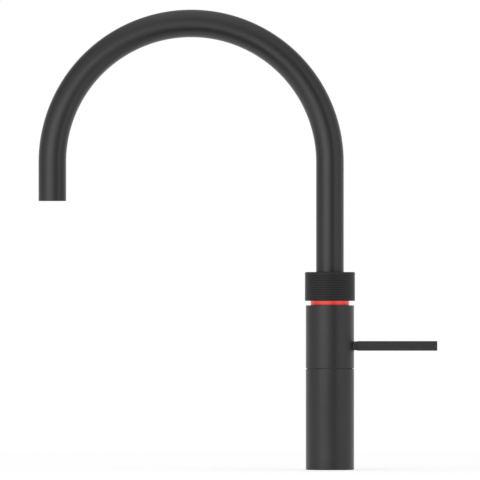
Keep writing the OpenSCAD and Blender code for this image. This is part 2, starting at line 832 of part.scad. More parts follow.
// Three-armed ring that holds the boiling tube in the middle of the spout
module spacer() {
    difference() {
        union() {
            rod(inner_tube_r + 1.2, 0, spacer_len, $fn = small);
            for (azimuth = [0, 120, 240]) rotate([0, 0, azimuth])
                translate([0, -0.6, 0]) cube([spout_bore_r - 0.2, 1.2, spacer_len]);
        }
        rod(inner_tube_r + run, -cut, spacer_len + cut, $fn = small);
    }
}

module tube_spacers() {
    color(plastic) {
        for (drop = [spacer_low, spacer_high]) translate([0, 0, bend_h - drop]) spacer();
        on_outlet_leg(nozzle_top + spacer_over) spacer();
    }
}

module outlet_nozzle() {
    groove_lo = nozzle_z + nozzle_groove_at;
    groove_r = nozzle_r - nozzle_groove_depth;
    color(black) translate([-spout_reach, 0, 0]) difference() {
        turned([
            [0, nozzle_z],
            [nozzle_r - 0.4, nozzle_z],
            [nozzle_r, nozzle_z + 0.4],
            [nozzle_r, groove_lo], [groove_r, groove_lo],
            [groove_r, groove_lo + nozzle_groove_w], [nozzle_r, groove_lo + nozzle_groove_w],
            [nozzle_r, nozzle_top],
            [nozzle_r - 1.2, nozzle_top],
            [nozzle_r - 1.2, nozzle_top - 2],
            [inner_tube_r + 1.5, nozzle_top - 3],
            [0, nozzle_top - 3]
        ]);
        rod(inner_tube_r + run, inner_tube_end - 0.1, nozzle_top, $fn = small);
        rod(1.6, nozzle_z - cut, nozzle_top, $fn = small);
        for (i = [0 : nozzle_holes - 1]) rotate([0, 0, i * 360 / nozzle_holes])
            translate([nozzle_r * 0.62, 0, 0]) rod(1.1, nozzle_z - cut, nozzle_top, $fn = 24);
    }
}

module nozzle_seal() {
    color(rubber) translate([-spout_reach, 0, 0])
        seal(nozzle_r - nozzle_groove_depth + 0.03 + nozzle_seal_wire, nozzle_seal_wire,
             nozzle_z + nozzle_groove_at + nozzle_groove_w / 2);
}

// ---------- control ring ----------

// Points on an arc, from angle a0 to a1
function arc(cx, cz, r, a0, a1, steps = 6) =
    [for (i = [0 : steps]) let (a = a0 + (a1 - a0) * i / steps) [cx + r * cos(a), cz + r * sin(a)]];

module control_ring() {
    hole_r = spout_r + 0.5;
    first = ring_lo + groove_start;
    color(black) rotate_extrude($fn = fine) polygon([
        [ring_bore_r, ring_lo],
        each arc(ring_r - ring_round, ring_lo + ring_round, ring_round, -90, 0),
        for (i = [0 : groove_count - 1]) let (z = first + i * groove_pitch) each [
            [ring_r, z - groove_w / 2],
            [ring_r - groove_depth, z - groove_w / 6],
            [ring_r - groove_depth, z + groove_w / 6],
            [ring_r, z + groove_w / 2]
        ],
        each arc(ring_r - ring_round, ring_hi - ring_round, ring_round, 0, 90),
        [hole_r + 0.3, ring_hi],
        [hole_r, ring_hi - 0.3],
        [hole_r, ring_under],
        [ring_bore_r, ring_under]
    ]);
}

module ring_base() {
    color(rubber) difference() {
        pipe(hub_r, ring_base_bore_r, ring_lo + 0.3, ring_lo + 0.3 + ring_base_h);
        at_magnets() rod(magnet_r + run, ring_lo + 0.3 + ring_base_h - magnet_h - 0.1, ring_hi, $fn = small);
    }
}

// The two magnets stand over the two sensors, between neighbouring lamps
module at_magnets() {
    for (azimuth = sensor_azimuths) rotate([0, 0, azimuth]) translate([magnet_at, 0, 0]) children();
}

module ring_magnets() {
    color(steel) at_magnets()
        rod(magnet_r, ring_lo + 0.25 + ring_base_h - magnet_h, ring_lo + 0.3 + ring_base_h, $fn = small);
}

module ring_hub() {
    color(plastic) difference() {
        pipe(hub_r, hub_bore_r, hub_lo, hub_hi);
        // curved groove for the stop peg
        rotate([0, 0, stop_azimuth - ring_turn - stop_margin])
            rotate_extrude(angle = ring_turn + 2 * stop_margin)
                translate([stop_at - stop_r - stop_gap, hub_lo - cut])
                    square([2 * (stop_r + stop_gap), stop_h + 2 * stop_gap + cut]);
    }
}

module ring_carriage() {
    color(plastic) {
        difference() {
            union() {
                pipe(carriage_r, sleeve_r + run, carriage_lo, carriage_hi);
                pipe(carriage_flange_r, carriage_r - 0.5, carriage_flange_lo, carriage_flange_hi);
                rotate([0, 0, stop_azimuth]) translate([stop_at, 0, 0])
                    rod(stop_r, carriage_flange_hi - 0.5, carriage_flange_hi + stop_h, $fn = small);
                for (side = [0, 180]) rotate([0, 0, side])
                    translate([sleeve_r - 0.8, -key_w / 2, carriage_lo + 1])
                        cube([1.4, key_w, key_len]);
            }
            difference() {
                rod(carriage_r + cut, circlip_lo - run, circlip_lo + circlip_t + run);
                rod(circlip_seat_r, circlip_lo - cut, circlip_lo + circlip_t + cut);
            }
        }
    }
}

module ring_circlip() {
    color(steel) difference() {
        pipe(circlip_r, circlip_seat_r + run, circlip_lo, circlip_lo + circlip_t);
        translate([0, -2.5, circlip_lo - cut]) cube([circlip_r + cut, 5, circlip_t + 2 * cut]);
    }
}

// Coil spring: rings of points along the helix, joined into one closed tube
module return_spring() {
    steps = ceil(spring_turns * spring_rings);
    points = [
        for (i = [0 : steps]) for (j = [0 : spring_sides - 1])
            let (turn = 360 * spring_turns * i / steps,
                 side = 360 * j / spring_sides,
                 r = spring_r + spring_wire_r * cos(side),
                 z = spring_lo + (spring_hi - spring_lo) * i / steps + spring_wire_r * sin(side))
            [r * cos(turn), r * sin(turn), z]
    ];
    start = [for (j = [0 : spring_sides - 1]) j];
    end = [for (j = [spring_sides - 1 : -1 : 0]) steps * spring_sides + j];
    sides = [
        for (i = [0 : steps - 1]) for (j = [0 : spring_sides - 1])
            let (a = i * spring_sides + j,
                 b = i * spring_sides + (j + 1) % spring_sides)
            each [[a, a + spring_sides, b], [b, a + spring_sides, b + spring_sides]]
    ];
    color(steel) polyhedron(points = points, faces = [start, each sides, end]);
}

// ---------- light and switch ----------

module light_ring() {
    color(red) turned([
        [light_bore_r, light_flange_lo],
        [light_foot_r, light_flange_lo],
        [light_foot_r, light_flange_hi],
        [light_r, light_flange_hi],
        [light_r, light_top],
        [light_bore_r, light_top]
    ]);
}

module light_board() {
    color(board_green) difference() {
        pipe(board_r, board_bore_r, board_lo, board_lo + board_t);
        rotate([0, 0, cable_azimuth]) translate([cable_at + 1, 0, 0])
            rod(0.8, board_lo - cut, board_lo + board_t + cut, $fn = small);
    }
}

module lamps() {
    color("white") for (i = [0 : led_count - 1]) rotate([0, 0, i * 360 / led_count])
        translate([lamp_at - lamp_w / 2, -0.8, lamp_lo]) cube([lamp_w, 1.6, lamp_h]);
}

module ring_sensors() {
    color(rubber) for (azimuth = sensor_azimuths) rotate([0, 0, azimuth])
        translate([lamp_at - 0.75, -1, lamp_lo]) cube([1.5, 2, 0.8]);
}

// ---------- worktop fixing ----------

module shank() {
    color(steel) turned([
        [shank_bore_r, -shank_len],
        [shank_r - shank_chamfer, -shank_len],
        [shank_r, -shank_len + shank_chamfer],
        [shank_r, foot_web_hi - 0.2],
        [shank_bore_r, foot_web_hi - 0.2]
    ]);
}

module base_seal() {
    color(rubber) pipe(foot_rim_r - 2 * seat, shank_r + 1, 0, base_seal_t);
}

module deck_gasket() {
    color(rubber) pipe(washer_r, shank_r + 0.3, washer_hi, gasket_hi);
}

module deck_washer() {
    color(steel) pipe(washer_r, shank_r + 0.3, jack_hi, washer_hi);
}

// Places children on the jack screws' axes
module at_jacks() {
    for (i = [0 : jack_count - 1]) rotate([0, 0, i * 360 / jack_count])
        translate([jack_at, 0, 0]) children();
}

module lock_nut() {
    corner_r = nut_af / 2 / cos(30);
    color(brass) difference() {
        intersection() {
            translate([0, 0, nut_hi - nut_h]) cylinder(r = corner_r, h = nut_h, $fn = 6);
            turned([
                [0, nut_hi - nut_h], [nut_af / 2, nut_hi - nut_h], [corner_r, nut_hi - nut_h + 1.6],
                [corner_r, nut_hi - 1.6], [nut_af / 2, nut_hi], [0, nut_hi]
            ]);
        }
        rod(shank_r + run, nut_hi - nut_h - cut, nut_hi + cut);
        at_jacks() rod(jack_r, nut_hi - nut_h - cut, nut_hi + cut, $fn = small);
    }
}

module jack_screws() {
    color(steel) at_jacks() {
        rod(jack_r - run, nut_hi - nut_h - jack_out, jack_hi, $fn = small);
        rod(jack_head_r, nut_hi - nut_h - jack_out - jack_head_h, nut_hi - nut_h - jack_out, $fn = 6);
    }
}

// ---------- water connections ----------

module tail_pipe() {
    end = -tail_drop;
    shoulder = end + tail_thread_len;
    groove_r = tail_r - tail_groove_depth;
    color(copper) turned([
        [tail_bore / 2, end],
        [tail_thread_r - thread_chamfer, end],
        [tail_thread_r, end + thread_chamfer],
        [tail_thread_r, shoulder],
        [tail_thread_r + 0.3, shoulder],
        [tail_thread_r + 0.3, shoulder + 2],
        [tail_r, shoulder + 3],
        [tail_r, tail_seal_z - tail_groove_w / 2],
        [groove_r, tail_seal_z - tail_groove_w / 2],
        [groove_r, tail_seal_z + tail_groove_w / 2],
        [tail_r, tail_seal_z + tail_groove_w / 2],
        [tail_r, tail_top],
        [tail_bore / 2, tail_top]
    ]);
}

module hot_tail() { at_tail(tail_azimuths[0]) tail_pipe(); }
module cold_tail() { at_tail(tail_azimuths[1]) tail_pipe(); }
module boiling_tail() { at_tail(tail_azimuths[2]) tail_pipe(); }

module tail_seals() {
    color(rubber) for (azimuth = tail_azimuths) at_tail(azimuth)
        seal(tail_r - tail_groove_depth + 0.02 + tail_seal_wire, tail_seal_wire, tail_seal_z);
}

module tail_plate() {
    color(plastic) difference() {
        rod(shank_bore_r - run, tail_plate_hi - tail_plate_t, tail_plate_hi);
        for (azimuth = tail_azimuths) at_tail(azimuth)
            rod(tail_r + run, tail_plate_hi - tail_plate_t - cut, tail_plate_hi + cut);
        rotate([0, 0, 180]) translate([grommet_at, 0, 0])
            rod(grommet_r, tail_plate_hi - tail_plate_t - cut, tail_plate_hi + cut, $fn = small);
    }
}

module cable_grommet() {
    lo = tail_plate_hi - tail_plate_t;
    color(rubber) rotate([0, 0, 180]) translate([grommet_at, 0, 0]) turned([
        [1.6, lo - 1.2], [3, lo - 1.2], [3.3, lo - 0.9], [3.3, lo], [grommet_r - run, lo],
        [grommet_r - run, tail_plate_hi], [3.3, tail_plate_hi], [3.3, tail_plate_hi + 0.9],
        [3, tail_plate_hi + 1.2], [1.6, tail_plate_hi + 1.2]
    ]);
}

base_column();
upper_body();
seam_ring();
body_set_screw();
valve_core();
channel_plugs();
cartridge_housing();
cartridge_cap();
cartridge_nut();
cartridge_seals();
fixed_disc();
moving_disc();
slide_frame();
guide_shoe();
lever_spindle();
lever_bar();
lever_screw();
guide_sleeve();
sleeve_screws();
lower_bush();
upper_bush();
thrust_washer();
spout_tube();
spout_tail();
spout_seals();
boiling_tube();
boiling_seal();
tube_spacers();
outlet_nozzle();
nozzle_seal();
control_ring();
ring_base();
ring_hub();
ring_magnets();
ring_carriage();
ring_circlip();
return_spring();
light_ring();
light_board();
lamps();
ring_sensors();
shank();
base_seal();
deck_gasket();
deck_washer();
lock_nut();
jack_screws();
cold_tail();
hot_tail();
boiling_tail();
tail_seals();
tail_plate();
cable_grommet();
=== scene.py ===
"""Boiling water tap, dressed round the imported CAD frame.

Metres. The origin is the centre of the tap's foot on the worktop, +Z runs up the column, the
spout reaches towards -X and the lever towards +X. The photograph looks along +Y.
"""
import json
import math

import bmesh
import bpy
import numpy as np
from bpy.props import FloatProperty, FloatVectorProperty, IntProperty, PointerProperty
from mathutils import Matrix, Vector

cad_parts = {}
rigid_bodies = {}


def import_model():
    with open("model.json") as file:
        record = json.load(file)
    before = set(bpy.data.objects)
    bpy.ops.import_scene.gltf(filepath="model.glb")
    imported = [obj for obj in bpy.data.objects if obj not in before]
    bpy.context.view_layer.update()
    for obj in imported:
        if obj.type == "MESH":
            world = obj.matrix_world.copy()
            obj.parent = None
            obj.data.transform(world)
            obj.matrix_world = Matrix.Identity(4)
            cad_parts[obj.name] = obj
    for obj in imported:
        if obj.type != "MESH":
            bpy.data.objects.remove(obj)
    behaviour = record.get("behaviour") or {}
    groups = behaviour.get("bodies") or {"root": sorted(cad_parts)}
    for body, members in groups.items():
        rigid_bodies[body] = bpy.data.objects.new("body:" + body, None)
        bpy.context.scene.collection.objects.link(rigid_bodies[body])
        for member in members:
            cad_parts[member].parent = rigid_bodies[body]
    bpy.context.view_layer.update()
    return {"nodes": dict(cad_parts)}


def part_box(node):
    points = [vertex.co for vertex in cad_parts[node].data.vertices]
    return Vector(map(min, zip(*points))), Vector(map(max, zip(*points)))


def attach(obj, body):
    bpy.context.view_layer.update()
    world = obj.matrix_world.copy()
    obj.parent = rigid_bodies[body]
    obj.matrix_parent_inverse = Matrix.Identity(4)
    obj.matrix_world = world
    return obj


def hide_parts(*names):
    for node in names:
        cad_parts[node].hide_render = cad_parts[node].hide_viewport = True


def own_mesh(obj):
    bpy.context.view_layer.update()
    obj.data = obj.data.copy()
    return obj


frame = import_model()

bl_info = {
    "name": "Boiling water tap",
    "version": (1, 0, 0),
    "blender": (4, 5, 0),
    "location": "3D View > Sidebar > Tap",
    "description": "Builds the finished surfaces of a swan neck boiling water tap",
    "category": "Object",
}

MM = 0.001
ROUND = 160             # columns round a large turned piece
FINE_ROUND = 96         # columns round a small turned piece
THREAD_ROUND = 72       # columns round the shank's thread
LAMPS = 12              # lamps under the light ring
SHARP = math.radians(32)    # an edge that turns further than this is drawn sharp
BALL_INSET = 1.5 * MM   # from the body's outside in to the centre of the lever's ball
LEVER_AXIS = (0.0, 0.0, sum(corner.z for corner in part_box("lever_bar")) / 2)


# ---------- sizes read from the frame ----------

def outer_radius(node):
    """Half of a node's width along Y, which for a round node is its outer radius."""
    low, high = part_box(node)
    return (high.y - low.y) / 2


def bottom(node):
    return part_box(node)[0].z


def top(node):
    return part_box(node)[1].z


def bend_radius():
    """Radius of the spout's centre line, from how far the tube reaches towards -X."""
    return (-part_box("spout_tube")[0].x - outer_radius("spout_tube")) / 2


def length(name, description, default):
    return FloatProperty(name=name, description=description, default=default, min=0.0,
                         unit="LENGTH", precision=5)


class TapSizes(bpy.types.PropertyGroup):
    """Sizes of the surfaces, which start from the CAD frame."""
    body_radius: length("Body radius", "Outer radius of column and upper body",
                        outer_radius("base_column"))
    shell_wall: length("Body wall", "Wall of column and upper body", 2.5 * MM)
    edge: length("Body edge", "Rounding of the body's outer edges", 0.4 * MM)
    seam_low: length("Seam bottom", "Height of the seam's lower edge", bottom("seam_ring"))
    seam_high: length("Seam top", "Height of the seam's upper edge", top("seam_ring"))
    body_top: length("Body top", "Height of the upper body's top face", top("upper_body"))
    light_radius: length("Light ring radius", "Outer radius of the light ring", 17.25 * MM)
    ring_radius: length("Control ring radius", "Outer radius of the control ring",
                        outer_radius("control_ring"))
    ring_wall: length("Control ring wall", "Wall of the control ring", 1.85 * MM)
    ring_round: length("Control ring rounding", "Rounding of the control ring's edges", 1.2 * MM)
    groove_count: IntProperty(name="Grooves", description="Fine grooves round the control ring",
                              default=11, min=1)
    groove_pitch: length("Groove spacing", "From groove to groove", 2.08 * MM)
    groove_width: length("Groove width", "Width of a groove", 0.9 * MM)
    groove_depth: length("Groove depth", "Depth of a groove", 0.2 * MM)
    first_groove: length("First groove", "From the ring's lower edge to the first groove", 1.7 * MM)
    tube_radius: length("Tube radius", "Outer radius of the spout tube",
                        outer_radius("spout_tube"))
    tube_wall: length("Tube wall", "Wall of the spout tube", 1.3 * MM)
    bend_radius: length("Bend radius", "Radius of the spout's centre line", bend_radius())
    nozzle_recess: length("Nozzle recess", "How far the nozzle sits up in the outlet", 1.0 * MM)
    lever_size: length("Lever thickness", "Height and width of the lever bar",
                       top("lever_bar") - bottom("lever_bar"))
    neck_length: length("Lever neck", "Round part between the body and the bar", 2.5 * MM)
    ball_radius: length("Ball radius", "Radius of the lever's ball",
                        outer_radius("lever_spindle"))
    thread_pitch: length("Shank thread", "Pitch of the shank's thread", 1.5 * MM)
    tail_pitch: length("Tail thread", "Pitch of the tails' threads", 1.0 * MM)


def srgb(code):
    """Linear red, green and blue of an sRGB hex colour."""
    value = np.array([int(code[i:i + 2], 16) for i in (0, 2, 4)]) / 255
    linear = np.where(value <= 0.04045, value / 12.92, ((value + 0.055) / 1.055) ** 2.4)
    return tuple(float(v) for v in linear)


def colour(name, description, code):
    return FloatVectorProperty(name=name, description=description, default=srgb(code),
                               min=0.0, max=1.0, subtype="COLOR")


class TapColours(bpy.types.PropertyGroup):
    """Colours that a user would change."""
    coat: colour("Coat", "Powder coat of body, spout, ring and lever", "252525")
    glow: colour("Light", "Colour of the lit ring", "ea4037")
    glow_strength: FloatProperty(name="Light strength", description="Brightness of the lit ring",
                                 default=0.86, min=0.0)
    floor: colour("Floor", "Plain pale floor", "f2f2f2")


# ---------- outlines, paths and surfaces ----------

def soften(corners, radius, steps=5):
    """Closed outline with rounded corners. Each arc is the circle that touches both sides at
    radius / tan(half the corner's angle), drawn as a rational quadratic curve whose middle
    weight is the sine of that half angle. A radius of 0 keeps the corner."""
    corners = np.array(corners, float)
    radius = np.broadcast_to(np.array(radius, float), len(corners))
    to_last, to_next = np.roll(corners, 1, 0) - corners, np.roll(corners, -1, 0) - corners
    last, following = np.linalg.norm(to_last, axis=1), np.linalg.norm(to_next, axis=1)
    to_last, to_next = to_last / last[:, None], to_next / following[:, None]
    half = np.arccos(np.clip((to_last * to_next).sum(1), -1, 1)) / 2
    reach = np.minimum(radius / np.tan(half), 0.48 * np.minimum(last, following))[:, None, None]
    t = np.linspace(0, 1, steps + 1)[None, :, None]
    weight = (2 * t * (1 - t)) * np.sin(half)[:, None, None]
    start = corners[:, None] + to_last[:, None] * reach
    end = corners[:, None] + to_next[:, None] * reach
    arcs = (start * (1 - t) ** 2 + corners[:, None] * weight + end * t ** 2)
    outline = (arcs / ((1 - t) ** 2 + weight + t ** 2)).reshape(-1, 2)
    apart = np.linalg.norm(outline - np.roll(outline, 1, 0), axis=1) > 1e-8
    return outline[apart]


def brace(outline, step=0.15 * MM):
    """The outline with two more points on each long straight stretch, one step from its ends,
    so that a flat keeps a flat shading up to its rounded edges."""
    following = np.roll(outline, -1, 0)
    size = np.linalg.norm(following - outline, axis=1)
    share = (step / np.maximum(size, 3 * step))[:, None]
    near = outline + (following - outline) * share
    far = following + (outline - following) * share
    long = size > 4 * step
    keep = np.stack([np.ones_like(long), long, long], 1)
    return np.stack([outline, near, far], 1)[keep]


def straight(origin, along, across):
    """Straight path: centre origin + s along; the crosswise directions stay the same."""
    origin, along, across = np.array(origin, float), np.array(along, float), np.array(across, float)
    beside = np.cross(along, across)

    def path(s):
        line = np.ones((len(s), 1))
        return origin + s[:, None] * along, across * line, beside * line
    return path


COLUMN = straight((0, 0, 0), (0, 0, 1), (1, 0, 0))


def swan_neck(start, bend_height, radius):
    """Path that climbs from height start, turns through a half circle towards -X and comes down.
    With a the angle turned, the centre is x = radius (cos a - 1) and z = start + climb +
    radius sin a - drop, and the outward crosswise direction is (cos a, 0, sin a)."""
    climb = bend_height - start

    def path(s):
        a = np.clip((s - climb) / radius, 0, np.pi)
        drop = np.maximum(s - climb - np.pi * radius, 0)
        flat = np.zeros_like(s)
        centre = np.stack([radius * (np.cos(a) - 1), flat,
                           start + np.minimum(s, climb) + radius * np.sin(a) - drop], 1)
        across = np.stack([np.cos(a), flat, np.sin(a)], 1)
        return centre, across, np.array([[0.0, 1.0, 0.0]]) + centre * 0
    return path


def carried(outline, path, columns=ROUND):
    """Surface of an outline of [radius, distance] pairs carried along a path: the point at
    angle t is the path's centre at that distance plus radius (cos t across + sin t beside)."""
    radius, distance = outline.T
    centre, across, beside = path(distance)
    t = np.arange(columns) * 2 * np.pi / columns
    ring = across[:, None] * np.cos(t)[None, :, None] + beside[:, None] * np.sin(t)[None, :, None]
    return centre[:, None] + radius[:, None, None] * ring


def thread(radius, depth, pitch, low, high, columns=THREAD_ROUND):
    """Screw thread about Z: rows follow the helix, whose height is low + pitch (turns + phase +
    angle / full circle). The phases 0 and 1/8 lie on the crest, 7/16 and 11/16 in the root,
    and the depth fades to nothing within one pitch of each end. The last column lies on
    the first, one turn further."""
    turns = int(math.ceil((high - low) / pitch)) + 1
    phase = np.array([0, 0.125, 0.4375, 0.6875])
    crest = np.tile(np.array([1.0, 1.0, 0.0, 0.0]), turns + 1)
    start = ((np.arange(turns + 1) - 1)[:, None] + phase[None, :]).reshape(-1)
    share = np.linspace(0, 1, columns + 1)
    height = low + pitch * (start[:, None] + share[None, :])
    fade = np.clip(np.minimum(height - low, high - height) / pitch, 0, 1)
    around = radius - depth + depth * crest[:, None] * fade
    angle = 2 * np.pi * share[None, :]
    return np.stack([around * np.cos(angle), around * np.sin(angle),
                     np.clip(height, low, high)], 2)


def rings(outline, columns):
    """Plain rings of an outline of [radius, height] pairs, with the last column on the first."""
    angle = np.linspace(0, 2 * np.pi, columns + 1)[None, :]
    radius, height = outline[:, :1], outline[:, 1:]
    return np.stack([radius * np.cos(angle), radius * np.sin(angle), height + angle * 0], 2)


def merged(mesh, near=1e-7):
    """Merges the doubles at poles and seams of a mesh, and drops the edges left bare."""
    work = bmesh.new()
    work.from_mesh(mesh)
    bmesh.ops.remove_doubles(work, verts=work.verts, dist=near)
    loose = [edge for edge in work.edges if not edge.link_faces]
    bmesh.ops.delete(work, geom=loose, context="EDGES")
    work.to_mesh(mesh)
    work.free()
    return mesh


def grid_mesh(name, points, close_columns=True):
    """Mesh whose faces join neighbouring points of points[row, column]. Rows always close."""
    rows, columns = points.shape[:2]
    i, j = np.meshgrid(np.arange(rows), np.arange(columns if close_columns else columns - 1),
                       indexing="ij")
    after_i, after_j = (i + 1) % rows, (j + 1) % columns
    quads = np.stack([i * columns + j, i * columns + after_j,
                      after_i * columns + after_j, after_i * columns + j], -1).reshape(-1, 4)
    mesh = bpy.data.meshes.new(name)
    mesh.vertices.add(rows * columns)
    mesh.vertices.foreach_set("co", points.astype(np.float32).ravel())
    mesh.loops.add(quads.size)
    mesh.loops.foreach_set("vertex_index", quads.astype(np.int32).ravel())
    mesh.polygons.add(len(quads))
    mesh.polygons.foreach_set("loop_start", np.arange(len(quads), dtype=np.int32) * 4)
    mesh.update(calc_edges=True)
    return merged(mesh)


def piece(name, mesh, body, slot, finished, *replaced):
    """Shows a mesh as a finished piece that rides on a body and stands for CAD nodes."""
    mesh.polygons.foreach_set("use_smooth", np.ones(len(mesh.polygons), bool))
    mesh.set_sharp_from_angle(angle=SHARP)
    thing = bpy.data.objects.new(name, mesh)
    bpy.context.scene.collection.objects.link(thing)
    mesh.materials.append(finished)
    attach(thing, body)
    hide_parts(*replaced)
    return thing


def carve(mesh, *cutters):
    """The mesh with the cutters' meshes taken out of it."""
    scene = bpy.context.scene.collection.objects
    things = [bpy.data.objects.new("carving", m) for m in (mesh, *cutters)]
    for thing in things:
        scene.link(thing)
    for cutter in things[1:]:
        cut = things[0].modifiers.new("cut", "BOOLEAN")
        cut.operation, cut.solver, cut.object = "DIFFERENCE", "EXACT", cutter
    done = bpy.data.meshes.new_from_object(
        things[0].evaluated_get(bpy.context.evaluated_depsgraph_get()))
    done.name = mesh.name
    for thing in things:
        bpy.data.objects.remove(thing)
    return done


# ---------- finishes ----------

def add(tree, kind, inputs=None, **settings):
    """Adds a node. inputs gives, by name or number, a value or the output that feeds it."""
    node = tree.nodes.new(kind)
    for key, value in settings.items():
        setattr(node, key, value)
    for key, value in (inputs or {}).items():
        if isinstance(value, bpy.types.NodeSocket):
            tree.links.new(value, node.inputs[key])
        else:
            node.inputs[key].default_value = value
    return node


def material(name, **sockets):
    """New material with a Principled shader. Returns it with its tree, shader and coordinates."""
    made = bpy.data.materials.new(name)
    made.use_nodes = True
    tree = made.node_tree
    shader = tree.nodes["Principled BSDF"]
    for key, value in sockets.items():
        shader.inputs[key.replace("_", " ")].default_value = value
    place = add(tree, "ShaderNodeTexCoord").outputs["Object"]
    return made, tree, shader, place


def mottle(tree, place, size, low, high, detail=2.0):
    """Smooth random value between low and high whose patches are about size metres wide."""
    noise = add(tree, "ShaderNodeTexNoise", {"Vector": place, "Scale": 1 / size, "Detail": detail})
    return add(tree, "ShaderNodeMapRange", {"Value": noise.outputs["Fac"], "From Min": 0.3,
                                            "From Max": 0.7, "To Min": low, "To Max": high}
               ).outputs["Result"]


def tinted(tree, shader, colour_value, factor):
    """Feeds the base colour: a linear colour times a factor that varies over the surface."""
    shade = add(tree, "ShaderNodeMix", {"Factor": 1.0, "A": (*colour_value, 1.0), "B": factor},
                data_type="RGBA", blend_type="MULTIPLY")
    tree.links.new(shade.outputs["Result"], shader.inputs["Base Color"])


def bumped(tree, shader, *layers):
    """Feeds the normal from layers of (height output, relief in metres, strength)."""
    normal = None
    for height, relief, strength in layers:
        inputs = {"Height": height, "Distance": relief, "Strength": strength}
        if normal:
            inputs["Normal"] = normal
        normal = add(tree, "ShaderNodeBump", inputs).outputs["Normal"]
    tree.links.new(normal, shader.inputs["Normal"])


def powder_coat(name, code=None, rough=0.34, peel_share=0.25):
    """Polyester powder coat, sprayed and baked: matt black with a faint orange peel and a fine
    grain, which gives the eye a soft even sheen with no sharp reflection. With no colour code
    it takes the coat's colour from the panel."""
    made, tree, shader, place = material(name, IOR=1.5)
    # the real grain is about 0.1 mm; it is drawn 0.5 mm wide so that it shows at all
    grain = mottle(tree, place, 0.5 * MM, 0.0, 1.0)
    # orange peel of the baked film, waves about 3 mm across
    peel = mottle(tree, place, 3 * MM, 0.0, 1.0, detail=1.0)
    tinted(tree, shader, srgb(code) if code else tuple(bpy.context.scene.tap_colours.coat),
           mottle(tree, place, 0.7 * MM, 0.9, 1.1))
    tree.links.new(mottle(tree, place, 30 * MM, rough - 0.02, rough + 0.02),
                   shader.inputs["Roughness"])
    bumped(tree, shader, (grain, 0.03 * MM, 0.6), (peel, 0.04 * MM, peel_share))
    return made


def ribbed_coat(name):
    """The same powder coat on the turned control ring: rougher and with less sheen, as the film
    is thin on the ridges, and with painted shade that darkens its colour in the grooves, where
    little light gets in."""
    size = bpy.context.scene.tap_sizes
    groove_shade, sheen = 0.3, 0.31
    made = powder_coat(name, "272728", rough=0.5, peel_share=0.1)
    tree = made.node_tree
    shader = tree.nodes["Principled BSDF"]
    height = add(tree, "ShaderNodeSeparateXYZ", {
        "Vector": add(tree, "ShaderNodeTexCoord").outputs["Object"]}).outputs["Z"]
    first = bottom("control_ring") + size.first_groove
    # half a pitch before the first groove and after the last one there are no more grooves
    above = add(tree, "ShaderNodeMath", {0: height, 1: -first})
    inside = add(tree, "ShaderNodeClamp", {"Value": above.outputs[0],
                                           "Min": -size.groove_pitch / 2,
                                           "Max": size.groove_pitch * (size.groove_count - 0.5)})
    apart = add(tree, "ShaderNodeMath", {0: inside.outputs[0], 1: size.groove_pitch / 2},
                operation="PINGPONG")
    # painted shade: 1 on the ridges, falling to groove_shade on each groove's floor
    groove_painted_shade = add(tree, "ShaderNodeMapRange", {
        "Value": apart.outputs[0], "From Min": 0.15 * MM, "From Max": size.groove_width * 0.6,
        "To Min": groove_shade, "To Max": 1.0}).outputs["Result"]
    shader.inputs["Specular IOR Level"].default_value = sheen
    body_colour = shader.inputs["Base Color"].links[0].from_socket
    # the coat's colour times that painted shade, darker in the grooves
    dark = add(tree, "ShaderNodeMix", {"Factor": 1.0, "A": body_colour, "B": groove_painted_shade},
               data_type="RGBA", blend_type="MULTIPLY")
    tree.links.new(dark.outputs["Result"], shader.inputs["Base Color"])
    return made


def hard_coat(name):
    """Steel with a black hard coat: dark grey and half metallic, with a fine grain."""
    made, tree, shader, place = material(name, Metallic=0.4)
    tinted(tree, shader, srgb("4a4a4c"), mottle(tree, place, 1 * MM, 0.9, 1.1))
    tree.links.new(mottle(tree, place, 4 * MM, 0.34, 0.42), shader.inputs["Roughness"])
    bumped(tree, shader, (mottle(tree, place, 0.4 * MM, 0, 1), 0.006 * MM, 0.4))
    return made


def moulded(code, low, high):
    """Injection moulded plastic, spark eroded mould: an even fine grain and a soft sheen."""
    def build(name):
        made, tree, shader, place = material(name, IOR=1.48)
        tinted(tree, shader, srgb(code), mottle(tree, place, 6 * MM, 0.94, 1.06))
        tree.links.new(mottle(tree, place, 2 * MM, low, high), shader.inputs["Roughness"])
        # the eroded grain is 0.05 mm; it is drawn 0.3 mm wide
        bumped(tree, shader, (mottle(tree, place, 0.3 * MM, 0, 1), 0.008 * MM, 0.5))
        return made
    return build


def rubber(code):
    """Moulded EPDM rubber: dull, with a little bloom that greys it in patches."""
    def build(name):
        made, tree, shader, place = material(name, IOR=1.5)
        tinted(tree, shader, srgb(code), mottle(tree, place, 5 * MM, 0.85, 1.25))
        tree.links.new(mottle(tree, place, 3 * MM, 0.78, 0.9), shader.inputs["Roughness"])
        bumped(tree, shader, (mottle(tree, place, 0.6 * MM, 0, 1), 0.02 * MM, 0.5))
        return made
    return build


def turned_metal(code, low, high, marks):
    """Metal turned on a lathe: bright, with fine tool marks that run round the piece. Drawn tube
    takes wide marks, which are the faint waves that drawing leaves."""
    def build(name):
        made, tree, shader, place = material(name, Metallic=1.0)
        # one band for each turn of the tool: the wave node's period is pi / 10 / scale
        feed = add(tree, "ShaderNodeTexWave",
                   {"Vector": place, "Scale": 2 * math.pi / 20 / marks, "Distortion": 1.5,
                    "Detail": 2.0}, bands_direction="Z").outputs["Fac"]
        tinted(tree, shader, srgb(code), mottle(tree, place, 4 * MM, 0.92, 1.05))
        tree.links.new(mottle(tree, place, 2 * MM, low, high), shader.inputs["Roughness"])
        bumped(tree, shader, (feed, 0.01 * MM, 0.35), (mottle(tree, place, 1 * MM, 0, 1),
                                                       0.01 * MM, 0.2))
        return made
    return build


